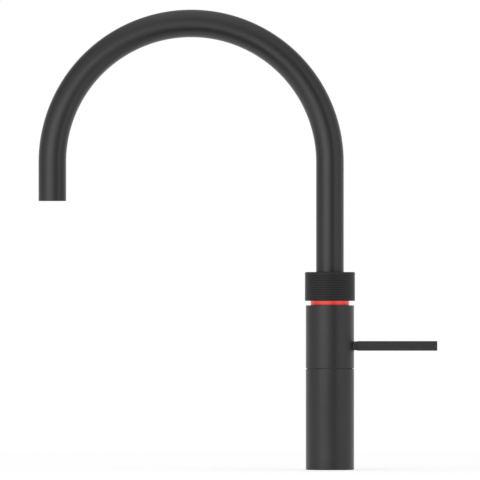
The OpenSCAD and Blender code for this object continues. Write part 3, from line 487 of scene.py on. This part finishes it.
def zinc(name):
    """Zinc plated steel, blue passivated: greyish, with faint blue and yellow clouds."""
    made, tree, shader, place = material(name, Metallic=1.0)
    ramp = add(tree, "ShaderNodeValToRGB", {"Fac": mottle(tree, place, 8 * MM, 0, 1)})
    ramp.color_ramp.elements[0].color = (*srgb("aab2bb"), 1.0)
    ramp.color_ramp.elements[1].color = (*srgb("c4c1b2"), 1.0)
    tree.links.new(ramp.outputs["Color"], shader.inputs["Base Color"])
    tree.links.new(mottle(tree, place, 3 * MM, 0.3, 0.45), shader.inputs["Roughness"])
    bumped(tree, shader, (mottle(tree, place, 0.8 * MM, 0, 1), 0.01 * MM, 0.4))
    return made


def ceramic(name):
    """Ground alumina discs: ivory, smooth, with the grinding's faint haze."""
    made, tree, shader, place = material(name, IOR=1.76)
    tinted(tree, shader, srgb("ebe7dc"), mottle(tree, place, 1 * MM, 0.97, 1.03))
    tree.links.new(mottle(tree, place, 2 * MM, 0.2, 0.3), shader.inputs["Roughness"])
    bumped(tree, shader, (mottle(tree, place, 0.3 * MM, 0, 1), 0.003 * MM, 0.4))
    return made


def board(name):
    """Circuit board under green solder mask: glossy, with tracks a shade lighter."""
    made, tree, shader, place = material(name, IOR=1.5)
    tracks = add(tree, "ShaderNodeTexBrick",
                 {"Vector": place, "Scale": 1 / (4 * MM), "Mortar Size": 0.06,
                  "Color1": (*srgb("14502c"), 1.0), "Color2": (*srgb("185a33"), 1.0),
                  "Mortar": (*srgb("2f7a4a"), 1.0)})
    tree.links.new(tracks.outputs["Color"], shader.inputs["Base Color"])
    tree.links.new(mottle(tree, place, 2 * MM, 0.22, 0.32), shader.inputs["Roughness"])
    bumped(tree, shader, (tracks.outputs["Fac"], 0.03 * MM, 0.5))
    return made


def light_guide(name):
    """Red diffusing acrylic, lit from below: it glows a touch brighter over each of the lamps,
    with painted shade of the body's rim that dims the glow towards the body's top face, and
    the plastic's own soft reflection over it."""
    colours, fade = bpy.context.scene.tap_colours, 2.2 * MM
    made, tree, shader, place = material(name, IOR=1.49)
    axes = add(tree, "ShaderNodeSeparateXYZ", {"Vector": place})
    angle = add(tree, "ShaderNodeMath", {0: axes.outputs["Y"], 1: axes.outputs["X"]},
                operation="ARCTAN2")
    lamps = add(tree, "ShaderNodeMath", {0: angle.outputs[0], 1: float(LAMPS)},
                operation="MULTIPLY")
    wave = add(tree, "ShaderNodeMath", {0: lamps.outputs[0]}, operation="COSINE")
    level = add(tree, "ShaderNodeMapRange", {"Value": wave.outputs[0], "From Min": -1.0,
                                             "To Min": 0.94, "To Max": 1.06})
    # painted shade of the body's rim: the glow is dimmed to a tenth at the body's top face and
    # rises to full over fade above it
    low = bpy.context.scene.tap_sizes.body_top
    rim_painted_shade = add(tree, "ShaderNodeMapRange", {"Value": axes.outputs["Z"], "From Min": low,
                                            "From Max": low + fade, "To Min": 0.1})
    glow_with_painted_shade = add(tree, "ShaderNodeMath", {0: level.outputs["Result"], 1: rim_painted_shade.outputs["Result"]},
                operation="MULTIPLY")
    glow = add(tree, "ShaderNodeMix", {"Factor": 1.0, "A": (*tuple(colours.glow), 1.0),
                                       "B": glow_with_painted_shade.outputs[0]},
               data_type="RGBA", blend_type="MULTIPLY")
    tree.links.new(glow.outputs["Result"], shader.inputs["Emission Color"])
    shader.inputs["Emission Strength"].default_value = colours.glow_strength
    tinted(tree, shader, srgb("7a1a16"), mottle(tree, place, 5 * MM, 0.95, 1.05))
    tree.links.new(mottle(tree, place, 2 * MM, 0.26, 0.34), shader.inputs["Roughness"])
    return made


FINISHES = {
    "matt_black_powder_coat": powder_coat,
    "matt_black_coat_on_grooves": ribbed_coat,
    "black_hard_coated_steel": hard_coat,
    "black_moulded_acetal": moulded("1c1c1d", 0.42, 0.52),
    "white_moulded_acetal": moulded("dedcd4", 0.4, 0.5),
    "white_lamp_package": moulded("f0ecdc", 0.3, 0.36),
    "red_lit_acrylic": light_guide,
    "moulded_rubber": rubber("222222"),
    "grey_seam_rubber": rubber("6a6a6c"),
    "turned_brass": turned_metal("d8b56a", 0.22, 0.32, 0.25 * MM),
    "turned_stainless_steel": turned_metal("c3c3c2", 0.25, 0.36, 0.3 * MM),
    "drawn_copper": turned_metal("d8946c", 0.2, 0.3, 6 * MM),
    "zinc_plated_steel": zinc,
    "ground_alumina": ceramic,
    "green_circuit_board": board,
}


def finish(name):
    """The material of that name, made when it is first asked for."""
    return bpy.data.materials.get(name) or FINISHES[name](name)


# ---------- the pieces ----------

def stops(first, last, step):
    """Evenly spaced values strictly between first and last, at most step apart."""
    count = max(int(math.ceil(abs(last - first) / step)), 1)
    return np.linspace(first, last, count + 1)[1:-1]


def wall(radius, heights):
    """Outline points up or down a straight wall."""
    return [[radius, height] for height in heights]


class TapBody(bpy.types.Operator):
    """Column, upper body with the lever's round seat, and the dark seam between them"""
    bl_idname = "tap.body"
    bl_label = "Body"

    def execute(self, context):
        size = context.scene.tap_sizes
        coat = finish("matt_black_powder_coat")
        outer, bore = size.body_radius, size.body_radius - size.shell_wall
        # foot with a rim round the seal's recess, a hole for the shank and a thick base, and
        # further up the shelf that carries the valve core
        foot, rim, recess = bottom("base_column"), 0.8 * MM, 1.2 * MM
        shank_hole, base_top = 16.05 * MM, 13 * MM
        core, shelf, shelf_edge, shelf_foot = bottom("valve_core"), 2 * MM, 4 * MM, 6 * MM
        column = [
            [shank_hole, recess], [outer - rim, recess], [outer - rim, foot], [outer, foot],
            [outer, size.seam_low], [bore, size.seam_low], [bore, core], [bore - shelf, core],
            [bore - shelf, core - shelf_edge], [bore, core - shelf_foot], [bore, base_top],
            [shank_hole, base_top],
        ]
        edges = [0, 0, 0, size.edge, size.edge / 2] + [0] * 7
        piece("column_shell",
              grid_mesh("column_shell", carried(brace(soften(column, edges)), COLUMN)),
              "fixed_body", "black_coat", coat, "base_column")

        # shell with a top plate, whose hole lets the light ring through
        top_plate, light_gap, row_step = 2.2 * MM, 0.2 * MM, 2 * MM
        rows = stops(size.seam_high, size.body_top, row_step)
        light, plate = size.light_radius + light_gap, size.body_top - top_plate
        shell = [[bore, size.seam_high], [outer, size.seam_high], *wall(outer, rows),
                 [outer, size.body_top], [light, size.body_top], [light, plate], [bore, plate]]
        edges = [0, size.edge / 2] + [0] * len(rows) + [size.edge, size.edge / 2, 0, 0]
        # carved out of it: the ball's seat, which is a half circle turned about the lever's axis,
        # and the hole of the set screw at the back
        ball_gap, hole_radius, hole_start = 0.05 * MM, 2 * MM, 5 * MM
        ball = np.linspace(0, np.pi, FINE_ROUND // 2 + 1)[:, None]
        seat = (size.ball_radius + ball_gap) * np.hstack([np.sin(ball), -np.cos(ball)])
        pivot = straight((outer - BALL_INSET, 0, LEVER_AXIS[2]), (1, 0, 0), (0, 1, 0))
        hole = np.array([[0, 0], [hole_radius, 0], [hole_radius, outer], [0, outer]])
        screw_height = (bottom("body_set_screw") + top("body_set_screw")) / 2
        screw_axis = straight((0, hole_start, screw_height), (0, 1, 0), (1, 0, 0))
        carved = carve(
            grid_mesh("upper_body_shell", carried(brace(soften(shell, edges)), COLUMN)),
            grid_mesh("seat", carried(seat, pivot, FINE_ROUND)),
            grid_mesh("hole", carried(hole, screw_axis, FINE_ROUND // 2)))
        piece("upper_body_shell", carved, "fixed_body", "black_coat", coat, "upper_body")

        groove = outer_radius("seam_ring")
        seam = [[bore, size.seam_low], [groove, size.seam_low], [groove, size.seam_high],
                [bore, size.seam_high]]
        piece("body_seam", grid_mesh("body_seam", carried(soften(seam, 0), COLUMN)),
              "fixed_body", "rubber", finish("grey_seam_rubber"), "seam_ring")
        return {"FINISHED"}


class TapSpout(bpy.types.Operator):
    """Swan neck tube with its rounded lip"""
    bl_idname = "tap.spout"
    bl_label = "Spout"

    def execute(self, context):
        size = context.scene.tap_sizes
        outer, inner, bend = size.tube_radius, size.tube_radius - size.tube_wall, size.bend_radius
        start, bend_height = bottom("spout_tube"), top("spout_tube") - bend - outer
        outlet = bottom("outlet_nozzle") - size.nozzle_recess
        climb = bend_height - start
        whole = climb + np.pi * bend + bend_height - outlet
        bend_rows, tube_columns, lip_row = 121, 128, 0.6 * MM
        rows = np.concatenate([climb + bend * np.linspace(0, np.pi, bend_rows),
                               [whole - lip_row]])
        tube = [[outer, 0], *wall(outer, rows), [outer, whole],
                [inner, whole], *wall(inner, rows[::-1]), [inner, 0]]
        straight_rows, lip = [0] * (len(rows) + 1), [0.35 * MM, 0.25 * MM]
        edges = straight_rows + lip + straight_rows
        neck = swan_neck(start, bend_height, bend)
        piece("swan_neck_tube",
              grid_mesh("swan_neck_tube", carried(soften(tube, edges), neck, tube_columns)),
              "spout", "black_coat", finish("matt_black_powder_coat"), "spout_tube")
        return {"FINISHED"}


class TapControlRing(bpy.types.Operator):
    """Control ring with its fine turned grooves"""
    bl_idname = "tap.control_ring"
    bl_label = "Control ring"

    def execute(self, context):
        size = context.scene.tap_sizes
        low, high = bottom("control_ring"), top("control_ring")
        outer, bore = size.ring_radius, size.ring_radius - size.ring_wall
        hole, roof = size.tube_radius + 0.5 * MM, 1.8 * MM
        middle = low + size.first_groove + size.groove_pitch * np.arange(size.groove_count)
        half, floor = size.groove_width / 2, size.groove_width / 6
        sides = np.array([[0, -half], [-size.groove_depth, -floor],
                          [-size.groove_depth, floor], [0, half]])
        grooves = (sides[None] + np.stack([middle * 0 + outer, middle], 1)[:, None]).reshape(-1, 2)
        ring = [[bore, low], [outer, low], *grooves.tolist(), [outer, high], [hole, high],
                [hole, high - roof], [bore, high - roof]]
        inner_edge, groove_edge, hole_edge = 0.2 * MM, 0.08 * MM, 0.3 * MM
        edges = [inner_edge, size.ring_round, *[groove_edge] * len(grooves), size.ring_round,
                 hole_edge, 0, 0]
        outline = brace(soften(ring, edges, steps=4), step=0.1 * MM)
        piece("grooved_control_ring", grid_mesh("grooved_control_ring", carried(outline, COLUMN)),
              "control_ring", "black_coat", finish("matt_black_coat_on_grooves"), "control_ring")
        return {"FINISHED"}


class TapLight(bpy.types.Operator):
    """Red light ring in the gap under the control ring"""
    bl_idname = "tap.light"
    bl_label = "Light ring"

    def execute(self, context):
        size = context.scene.tap_sizes
        low, high, flange_height = bottom("light_ring"), top("light_ring"), 1.4 * MM
        outer, inner = size.light_radius, size.light_radius - 1.2 * MM
        flange = [outer_radius("light_ring"), low + flange_height]
        guide = [[inner, low], [flange[0], low], flange, [outer, flange[1]], [outer, high],
                 [inner, high]]
        edges = [0, 0, 0, 0, 0.3 * MM, 0.2 * MM]
        piece("lit_ring", grid_mesh("lit_ring", carried(brace(soften(guide, edges)), COLUMN)),
              "fixed_body", "light_red", finish("red_lit_acrylic"), "light_ring")
        return {"FINISHED"}


def sections(rows):
    """Rings of points along X from rows of (place, half width, corner radius): each is a square
    with rounded corners, and where the radius equals the half width it is round."""
    square = np.array([[-1, -1], [1, -1], [1, 1], [-1, 1]])
    outlines = [np.insert(soften(half * square, radius, steps=12), 0, place, axis=1)
                for place, half, radius in rows]
    return np.stack(outlines) + np.array(LEVER_AXIS)


class TapLever(bpy.types.Operator):
    """Lever bar with its round neck, and the ball that it turns on"""
    bl_idname = "tap.lever"
    bl_label = "Lever"

    def execute(self, context):
        size = context.scene.tap_sizes
        face, tip = (corner.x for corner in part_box("lever_bar"))
        half, bar, pin = size.lever_size / 2, size.body_radius + size.neck_length, 2.5 * MM
        hole, hole_end, neck = pin + 0.05 * MM, face + 11.5 * MM, half - 0.3 * MM
        corner, bevel, edge, brace_row, point = 1.0 * MM, 0.5 * MM, 0.1 * MM, 0.3 * MM, 1e-6
        # from the end of the pin's hole to its mouth, over the round neck, out to the square
        # bar and along it to the bevelled tip
        rows = [
            (hole_end, point, point), (hole_end, hole, hole), (face + 2 * edge, hole, hole),
            (face, hole + edge, hole + edge), (face, neck - edge, neck - edge),
            (face + edge, neck, neck), (bar - edge, neck, neck), (bar, neck, neck),
            (bar + 0.3 * bevel, half - 0.4 * bevel, 0.6 * half), (bar + bevel, half, corner),
            (bar + bevel + brace_row, half, corner), (tip - bevel - brace_row, half, corner),
            (tip - bevel, half, corner), (tip - 0.4 * bevel, half - 0.15 * bevel, corner),
            (tip - 0.1 * bevel, half - 0.5 * bevel, corner), (tip, half - bevel, corner),
            (tip, half - 1.6 * bevel, corner), (tip, point, point),
        ]
        piece("lever_arm", grid_mesh("lever_arm", sections(rows)), "lever", "black_coat",
              finish("matt_black_powder_coat"), "lever_bar")

        # the tail with its own small ball, the large ball, its flat face and the bar's pin
        ball, stem, end, reach = size.ball_radius, 1.9 * MM, 2.1 * MM, 12 * MM
        pivot, pin_end, pin_bevel = size.body_radius - BALL_INSET, face + 11 * MM, 0.3 * MM
        small = np.linspace(0, np.pi - math.asin(stem / end), 13)
        large = np.linspace(math.asin(stem / ball), np.pi - math.acos((face - pivot) / ball), 41)
        outline = np.concatenate([
            np.stack([end * np.sin(small), pivot - reach - end * np.cos(small)], 1),
            np.stack([ball * np.sin(large), pivot - ball * np.cos(large)], 1),
            [[pin, face], [pin, pin_end - pin_bevel], [pin - pin_bevel, pin_end],
             [0, pin_end]]])
        axis = straight((0, 0, LEVER_AXIS[2]), (1, 0, 0), (0, 1, 0))
        piece("lever_ball", grid_mesh("lever_ball", carried(outline, axis, FINE_ROUND)), "lever",
              "black_steel", finish("black_hard_coated_steel"), "lever_spindle")
        return {"FINISHED"}


def threaded(name, before, thread_rows, after):
    """Closed turned surface: rings below, a thread, and rings above."""
    columns = thread_rows.shape[1] - 1
    rows = [rings(np.array(before), columns), thread_rows, rings(np.array(after), columns)]
    return grid_mesh(name, np.concatenate(rows), close_columns=False)


class TapFixing(bpy.types.Operator):
    """Threaded shank that holds the tap through the worktop"""
    bl_idname = "tap.fixing"
    bl_label = "Fixing"

    def execute(self, context):
        size = context.scene.tap_sizes
        outer, bore, low, high = 16 * MM, 13 * MM, bottom("shank"), top("shank")
        depth, end, runout = 0.92 * MM, -6 * MM, 1 * MM
        mesh = threaded("threaded_shank", [[bore, low], [outer - depth, low]],
                        thread(outer, depth, size.thread_pitch, low, end),
                        [[outer - depth, end + runout], [outer, end + 2 * runout],
                         [outer, high], [bore, high]])
        piece("threaded_shank", mesh, "fixed_body", "steel", finish("turned_stainless_steel"),
              "shank")
        return {"FINISHED"}


class TapConnections(bpy.types.Operator):
    """The three copper tails under the worktop, with their threads and seal grooves"""
    bl_idname = "tap.connections"
    bl_label = "Connections"

    def execute(self, context):
        size = context.scene.tap_sizes
        outer, depth, bore, pipe, offset = 5 * MM, 0.61 * MM, 2.5 * MM, 4 * MM, 7.6 * MM
        collar, collar_low, collar_high, pipe_low = 5.3 * MM, -81 * MM, -79 * MM, -78 * MM
        groove_drop, groove_floor, groove_half = 3.8 * MM, 3.15 * MM, 0.55 * MM
        for node, azimuth in (("boiling_tail", 0), ("hot_tail", 120), ("cold_tail", 240)):
            low, high = bottom(node), top(node)
            groove = high - groove_drop
            groove_low, groove_high = groove - groove_half, groove + groove_half
            mesh = threaded(
                node + "_threaded", [[bore, low], [outer - depth, low]],
                thread(outer, depth, size.tail_pitch, low, collar_low, FINE_ROUND // 2),
                [[collar, collar_low], [collar, collar_high], [pipe, pipe_low],
                 [pipe, groove_low], [groove_floor, groove_low], [groove_floor, groove_high],
                 [pipe, groove_high], [pipe, high], [bore, high]])
            turn = math.radians(azimuth)
            mesh.transform(Matrix.Translation(
                (offset * math.cos(turn), offset * math.sin(turn), 0)))
            piece(node + "_threaded", mesh, "fixed_body", "copper", finish("drawn_copper"), node)
        return {"FINISHED"}


def coil(radius, low, high, turns):
    """Helix about Z: at share s of its length the centre is (radius cos a, radius sin a,
    low + s (high - low)) with a = turns s full circles. The crosswise directions point away
    from the axis and square to the wire."""
    def path(s):
        a = 2 * np.pi * turns * s
        cos, sin, flat = np.cos(a), np.sin(a), np.zeros_like(s)
        centre = np.stack([radius * cos, radius * sin, low + s * (high - low)], 1)
        along = np.stack([-sin, cos, flat + (high - low) / (2 * np.pi * turns * radius)], 1)
        along /= np.linalg.norm(along, axis=1)[:, None]
        across = np.stack([cos, sin, flat], 1)
        return centre, across, np.cross(along, across)
    return path


class TapSpring(bpy.types.Operator):
    """Return spring coiled under the ring's carriage at its length in the frame; the real spring
    shortens when the ring is pushed
    """
    bl_idname = "tap.spring"
    bl_label = "Return spring"

    def execute(self, context):
        low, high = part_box("return_spring")
        wire, turns, rows_each_turn, wire_columns = 0.45 * MM, 5.5, 24, 12
        share = np.linspace(0, 1, int(turns * rows_each_turn) + 1)
        outline = np.array([[0, 0], *wall(wire, share), [0, 1]])
        path = coil(high.x - wire, low.z + wire, high.z - wire, turns)
        mesh = grid_mesh("spring_coil", carried(outline, path, wire_columns))
        spring = piece("spring_coil", mesh, "fixed_body", "steel",
                       finish("turned_stainless_steel"), "return_spring")
        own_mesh(spring)
        return {"FINISHED"}


INNER = {
    "black_moulded_acetal": ["outlet_nozzle", "ring_base"],
    "black_hard_coated_steel": ["body_set_screw"],
    "turned_brass": ["valve_core", "channel_plugs", "cartridge_cap", "cartridge_nut",
                     "guide_sleeve", "spout_tail", "lock_nut"],
    "turned_stainless_steel": ["lever_screw", "slide_frame", "guide_shoe", "ring_circlip",
                               "ring_magnets", "sleeve_screws", "boiling_tube"],
    "zinc_plated_steel": ["deck_washer", "jack_screws"],
    "white_moulded_acetal": ["cartridge_housing", "lower_bush", "upper_bush", "thrust_washer",
                             "tube_spacers", "ring_hub", "ring_carriage", "tail_plate"],
    "ground_alumina": ["fixed_disc", "moving_disc"],
    "moulded_rubber": ["cartridge_seals", "spout_seals", "boiling_seal", "nozzle_seal",
                       "base_seal", "deck_gasket", "tail_seals", "cable_grommet",
                       "ring_sensors"],
    "green_circuit_board": ["light_board"],
    "white_lamp_package": ["lamps"],
}


class TapInner(bpy.types.Operator):
    """Finishes for the valve, seals, fixings and electronics that keep their own shapes"""
    bl_idname = "tap.inner"
    bl_label = "Inner parts"

    def execute(self, context):
        for name, nodes in INNER.items():
            made = finish(name)
            for node in nodes:
                for holder in frame["nodes"][node].material_slots:
                    holder.material = made
        return {"FINISHED"}


# ---------- the stage ----------

def seen_only_by(thing, *seen_by):
    """Shows a thing only to the named kinds of ray."""
    for kind in ("camera", "diffuse", "glossy", "transmission", "shadow", "volume_scatter"):
        setattr(thing, "visible_" + kind, kind in seen_by)


def plane(name, centre, normal, width, height):
    """Upright-sided rectangle that faces along normal."""
    turned = Vector(normal).to_track_quat("Z", "Y").to_matrix().to_4x4()
    mesh = bpy.data.meshes.new(name)
    corners = [(-width / 2, -height / 2, 0), (width / 2, -height / 2, 0),
               (width / 2, height / 2, 0), (-width / 2, height / 2, 0)]
    mesh.from_pydata(corners, [], [(0, 1, 2, 3)])
    mesh.transform(Matrix.Translation(centre) @ turned)
    thing = bpy.data.objects.new(name, mesh)
    bpy.context.scene.collection.objects.link(thing)
    return thing


def flat_emission(name, level):
    """Plain emission, for a card or panel that is only seen in reflections."""
    made = bpy.data.materials.new(name)
    made.use_nodes = True
    tree = made.node_tree
    tree.nodes.clear()
    glow = add(tree, "ShaderNodeEmission", {"Color": (level, level, level, 1.0)})
    out = add(tree, "ShaderNodeOutputMaterial")
    tree.links.new(glow.outputs[0], out.inputs["Surface"])
    return made


def white_rays(tree):
    """1 for camera, glossy and transmission rays, 0 for the others."""
    path = add(tree, "ShaderNodeLightPath").outputs
    both = add(tree, "ShaderNodeMath", {0: path["Is Camera Ray"], 1: path["Is Glossy Ray"]},
               operation="MAXIMUM")
    return add(tree, "ShaderNodeMath", {0: both.outputs[0], 1: path["Is Transmission Ray"]},
               operation="MAXIMUM").outputs[0]


class TapStage(bpy.types.Operator):
    """Pale floor, soft lights, white surroundings and the camera at the photograph's angle"""
    bl_idname = "tap.stage"
    bl_label = "Stage"

    def execute(self, context):
        scene = context.scene
        scene.view_settings.view_transform = "Standard"

        # white surroundings: as bright as paper where seen, a little softer as light
        world = bpy.data.worlds.new("white_surroundings")
        world.use_nodes = True
        scene.world = world
        tree = world.node_tree
        rays = add(tree, "ShaderNodeLightPath").outputs
        toward = add(tree, "ShaderNodeSeparateXYZ", {
            "Vector": add(tree, "ShaderNodeTexCoord").outputs["Generated"]}).outputs
        # what reflections see of the room, each group an axis, where its step starts and ends,
        # and the change it brings: white in front, dimmer beside and behind, white again far
        # behind, a touch brighter to the right, dimmer high up and brightest straight above
        room, soft_level = 1.0, 0.6
        for axis, start, end, change in (("Y", -0.55, 0.05, -0.42), ("Y", 0.45, 0.95, 0.38),
                                         ("X", 0.4, 0.75, 0.14), ("Z", 0.2, 0.6, -0.2),
                                         ("Z", 0.72, 1.0, 0.7)):
            step = add(tree, "ShaderNodeMapRange", {"Value": toward[axis], "From Min": start,
                                                    "From Max": end, "To Max": change})
            room = add(tree, "ShaderNodeMath", {0: room, 1: step.outputs[0]}).outputs[0]
        mirrored = add(tree, "ShaderNodeMix", {"Factor": rays["Is Glossy Ray"],
                                               "A": soft_level, "B": room})
        level = add(tree, "ShaderNodeMix", {"Factor": rays["Is Camera Ray"],
                                            "A": mirrored.outputs["Result"], "B": 1.0})
        tree.links.new(level.outputs["Result"], tree.nodes["Background"].inputs["Strength"])
        tree.nodes["Background"].inputs["Color"].default_value = (1.0, 1.0, 1.0, 1.0)

        # floor: pale paint with a slight mottle; camera and mirror rays see it near white, and
        # the diffuse part keeps the tap's shadow
        floor_radius, floor_lift = 1.2, 0.45
        made, tree, shader, place = material("pale_floor", Roughness=1.0, Specular_IOR_Level=0.0,
                                             Emission_Color=(1.0, 1.0, 1.0, 1.0))
        tinted(tree, shader, tuple(scene.tap_colours.floor),
               mottle(tree, place, 50 * MM, 0.99, 1.01))
        lift = add(tree, "ShaderNodeMath", {0: white_rays(tree), 1: floor_lift},
                   operation="MULTIPLY")
        tree.links.new(lift.outputs[0], shader.inputs["Emission Strength"])
        turn = np.arange(FINE_ROUND) * 2 * np.pi / FINE_ROUND
        rim = floor_radius * np.stack([np.cos(turn), np.sin(turn), turn * 0], 1)
        mesh = bpy.data.meshes.new("floor")
        mesh.from_pydata(rim.tolist(), [], [tuple(range(FINE_ROUND))])
        mesh.materials.append(made)
        floor = bpy.data.objects.new("floor", mesh)
        scene.collection.objects.link(floor)

        # key light: a large soft box in front of the tap and to the left, sizes in metres
        lamp = bpy.data.lights.new("soft_box", "AREA")
        lamp.shape, lamp.size, lamp.size_y, lamp.energy = "RECTANGLE", 1.25, 1.1, 6.0
        soft_box = bpy.data.objects.new("soft_box", lamp)
        soft_box.location = (-0.85, -1.36, 0.1)
        aim = Vector((-0.05, 0.0, 0.15)) - soft_box.location
        soft_box.rotation_euler = aim.to_track_quat("-Z", "Y").to_euler()
        scene.collection.objects.link(soft_box)

        # dark card right of the camera, seen only in reflections: the dark band on the tubes
        tall = plane("dark_card_side", (0.36, -0.96, 0.3), (-0.36, 0.96, 0.0), 0.39, 1.4)
        tall.data.materials.append(flat_emission("dark_card_tall", 0.1))
        # dark card low in front: the dark underside of the arc and of the edges
        low = plane("dark_card_low", (-0.21, -0.43, 0.012), (0, 0, 1), 0.46, 0.56)
        low.data.materials.append(flat_emission("dark_card_flat", 0.2))
        for card in (tall, low):
            seen_only_by(card, "glossy")

        # a long lens from far away, level with the middle of the tap, as in the photograph
        lens = bpy.data.cameras.new("camera")
        lens.lens, lens.sensor_width = 1200.0, 36.0
        lens.clip_start, lens.clip_end = 1.0, 60.0
        camera = bpy.data.objects.new("camera", lens)
        camera.location = (-0.0801, -14.25, 0.2047)
        camera.rotation_euler = (math.radians(90), 0.0, 0.0)
        scene.collection.objects.link(camera)
        scene.camera = camera
        return {"FINISHED"}


class TapPanel(bpy.types.Panel):
    """Sizes, colours and the pieces' buttons in the sidebar"""
    bl_idname = "VIEW3D_PT_tap"
    bl_label = "Boiling water tap"
    bl_space_type = "VIEW_3D"
    bl_region_type = "UI"
    bl_category = "Tap"

    def draw(self, context):
        for group in (context.scene.tap_sizes, context.scene.tap_colours):
            column = self.layout.column()
            for name in group.__annotations__:
                column.prop(group, name)
        for operator in OPERATORS:
            self.layout.operator(operator.bl_idname)


OPERATORS = (TapStage, TapBody, TapSpout, TapControlRing, TapLight, TapLever, TapSpring,
             TapFixing, TapConnections, TapInner)
CLASSES = (TapSizes, TapColours, *OPERATORS, TapPanel)


def register():
    for entry in CLASSES:
        bpy.utils.register_class(entry)
    bpy.types.Scene.tap_sizes = PointerProperty(type=TapSizes)
    bpy.types.Scene.tap_colours = PointerProperty(type=TapColours)


def unregister():
    del bpy.types.Scene.tap_colours
    del bpy.types.Scene.tap_sizes
    for entry in reversed(CLASSES):
        bpy.utils.unregister_class(entry)


def main():
    register()
    for operator in OPERATORS:
        family, name = operator.bl_idname.split(".")
        if getattr(getattr(bpy.ops, family), name)() != {"FINISHED"}:
            raise RuntimeError("the step " + operator.bl_label + " didn't finish")


if __name__ == "__main__":
    main()
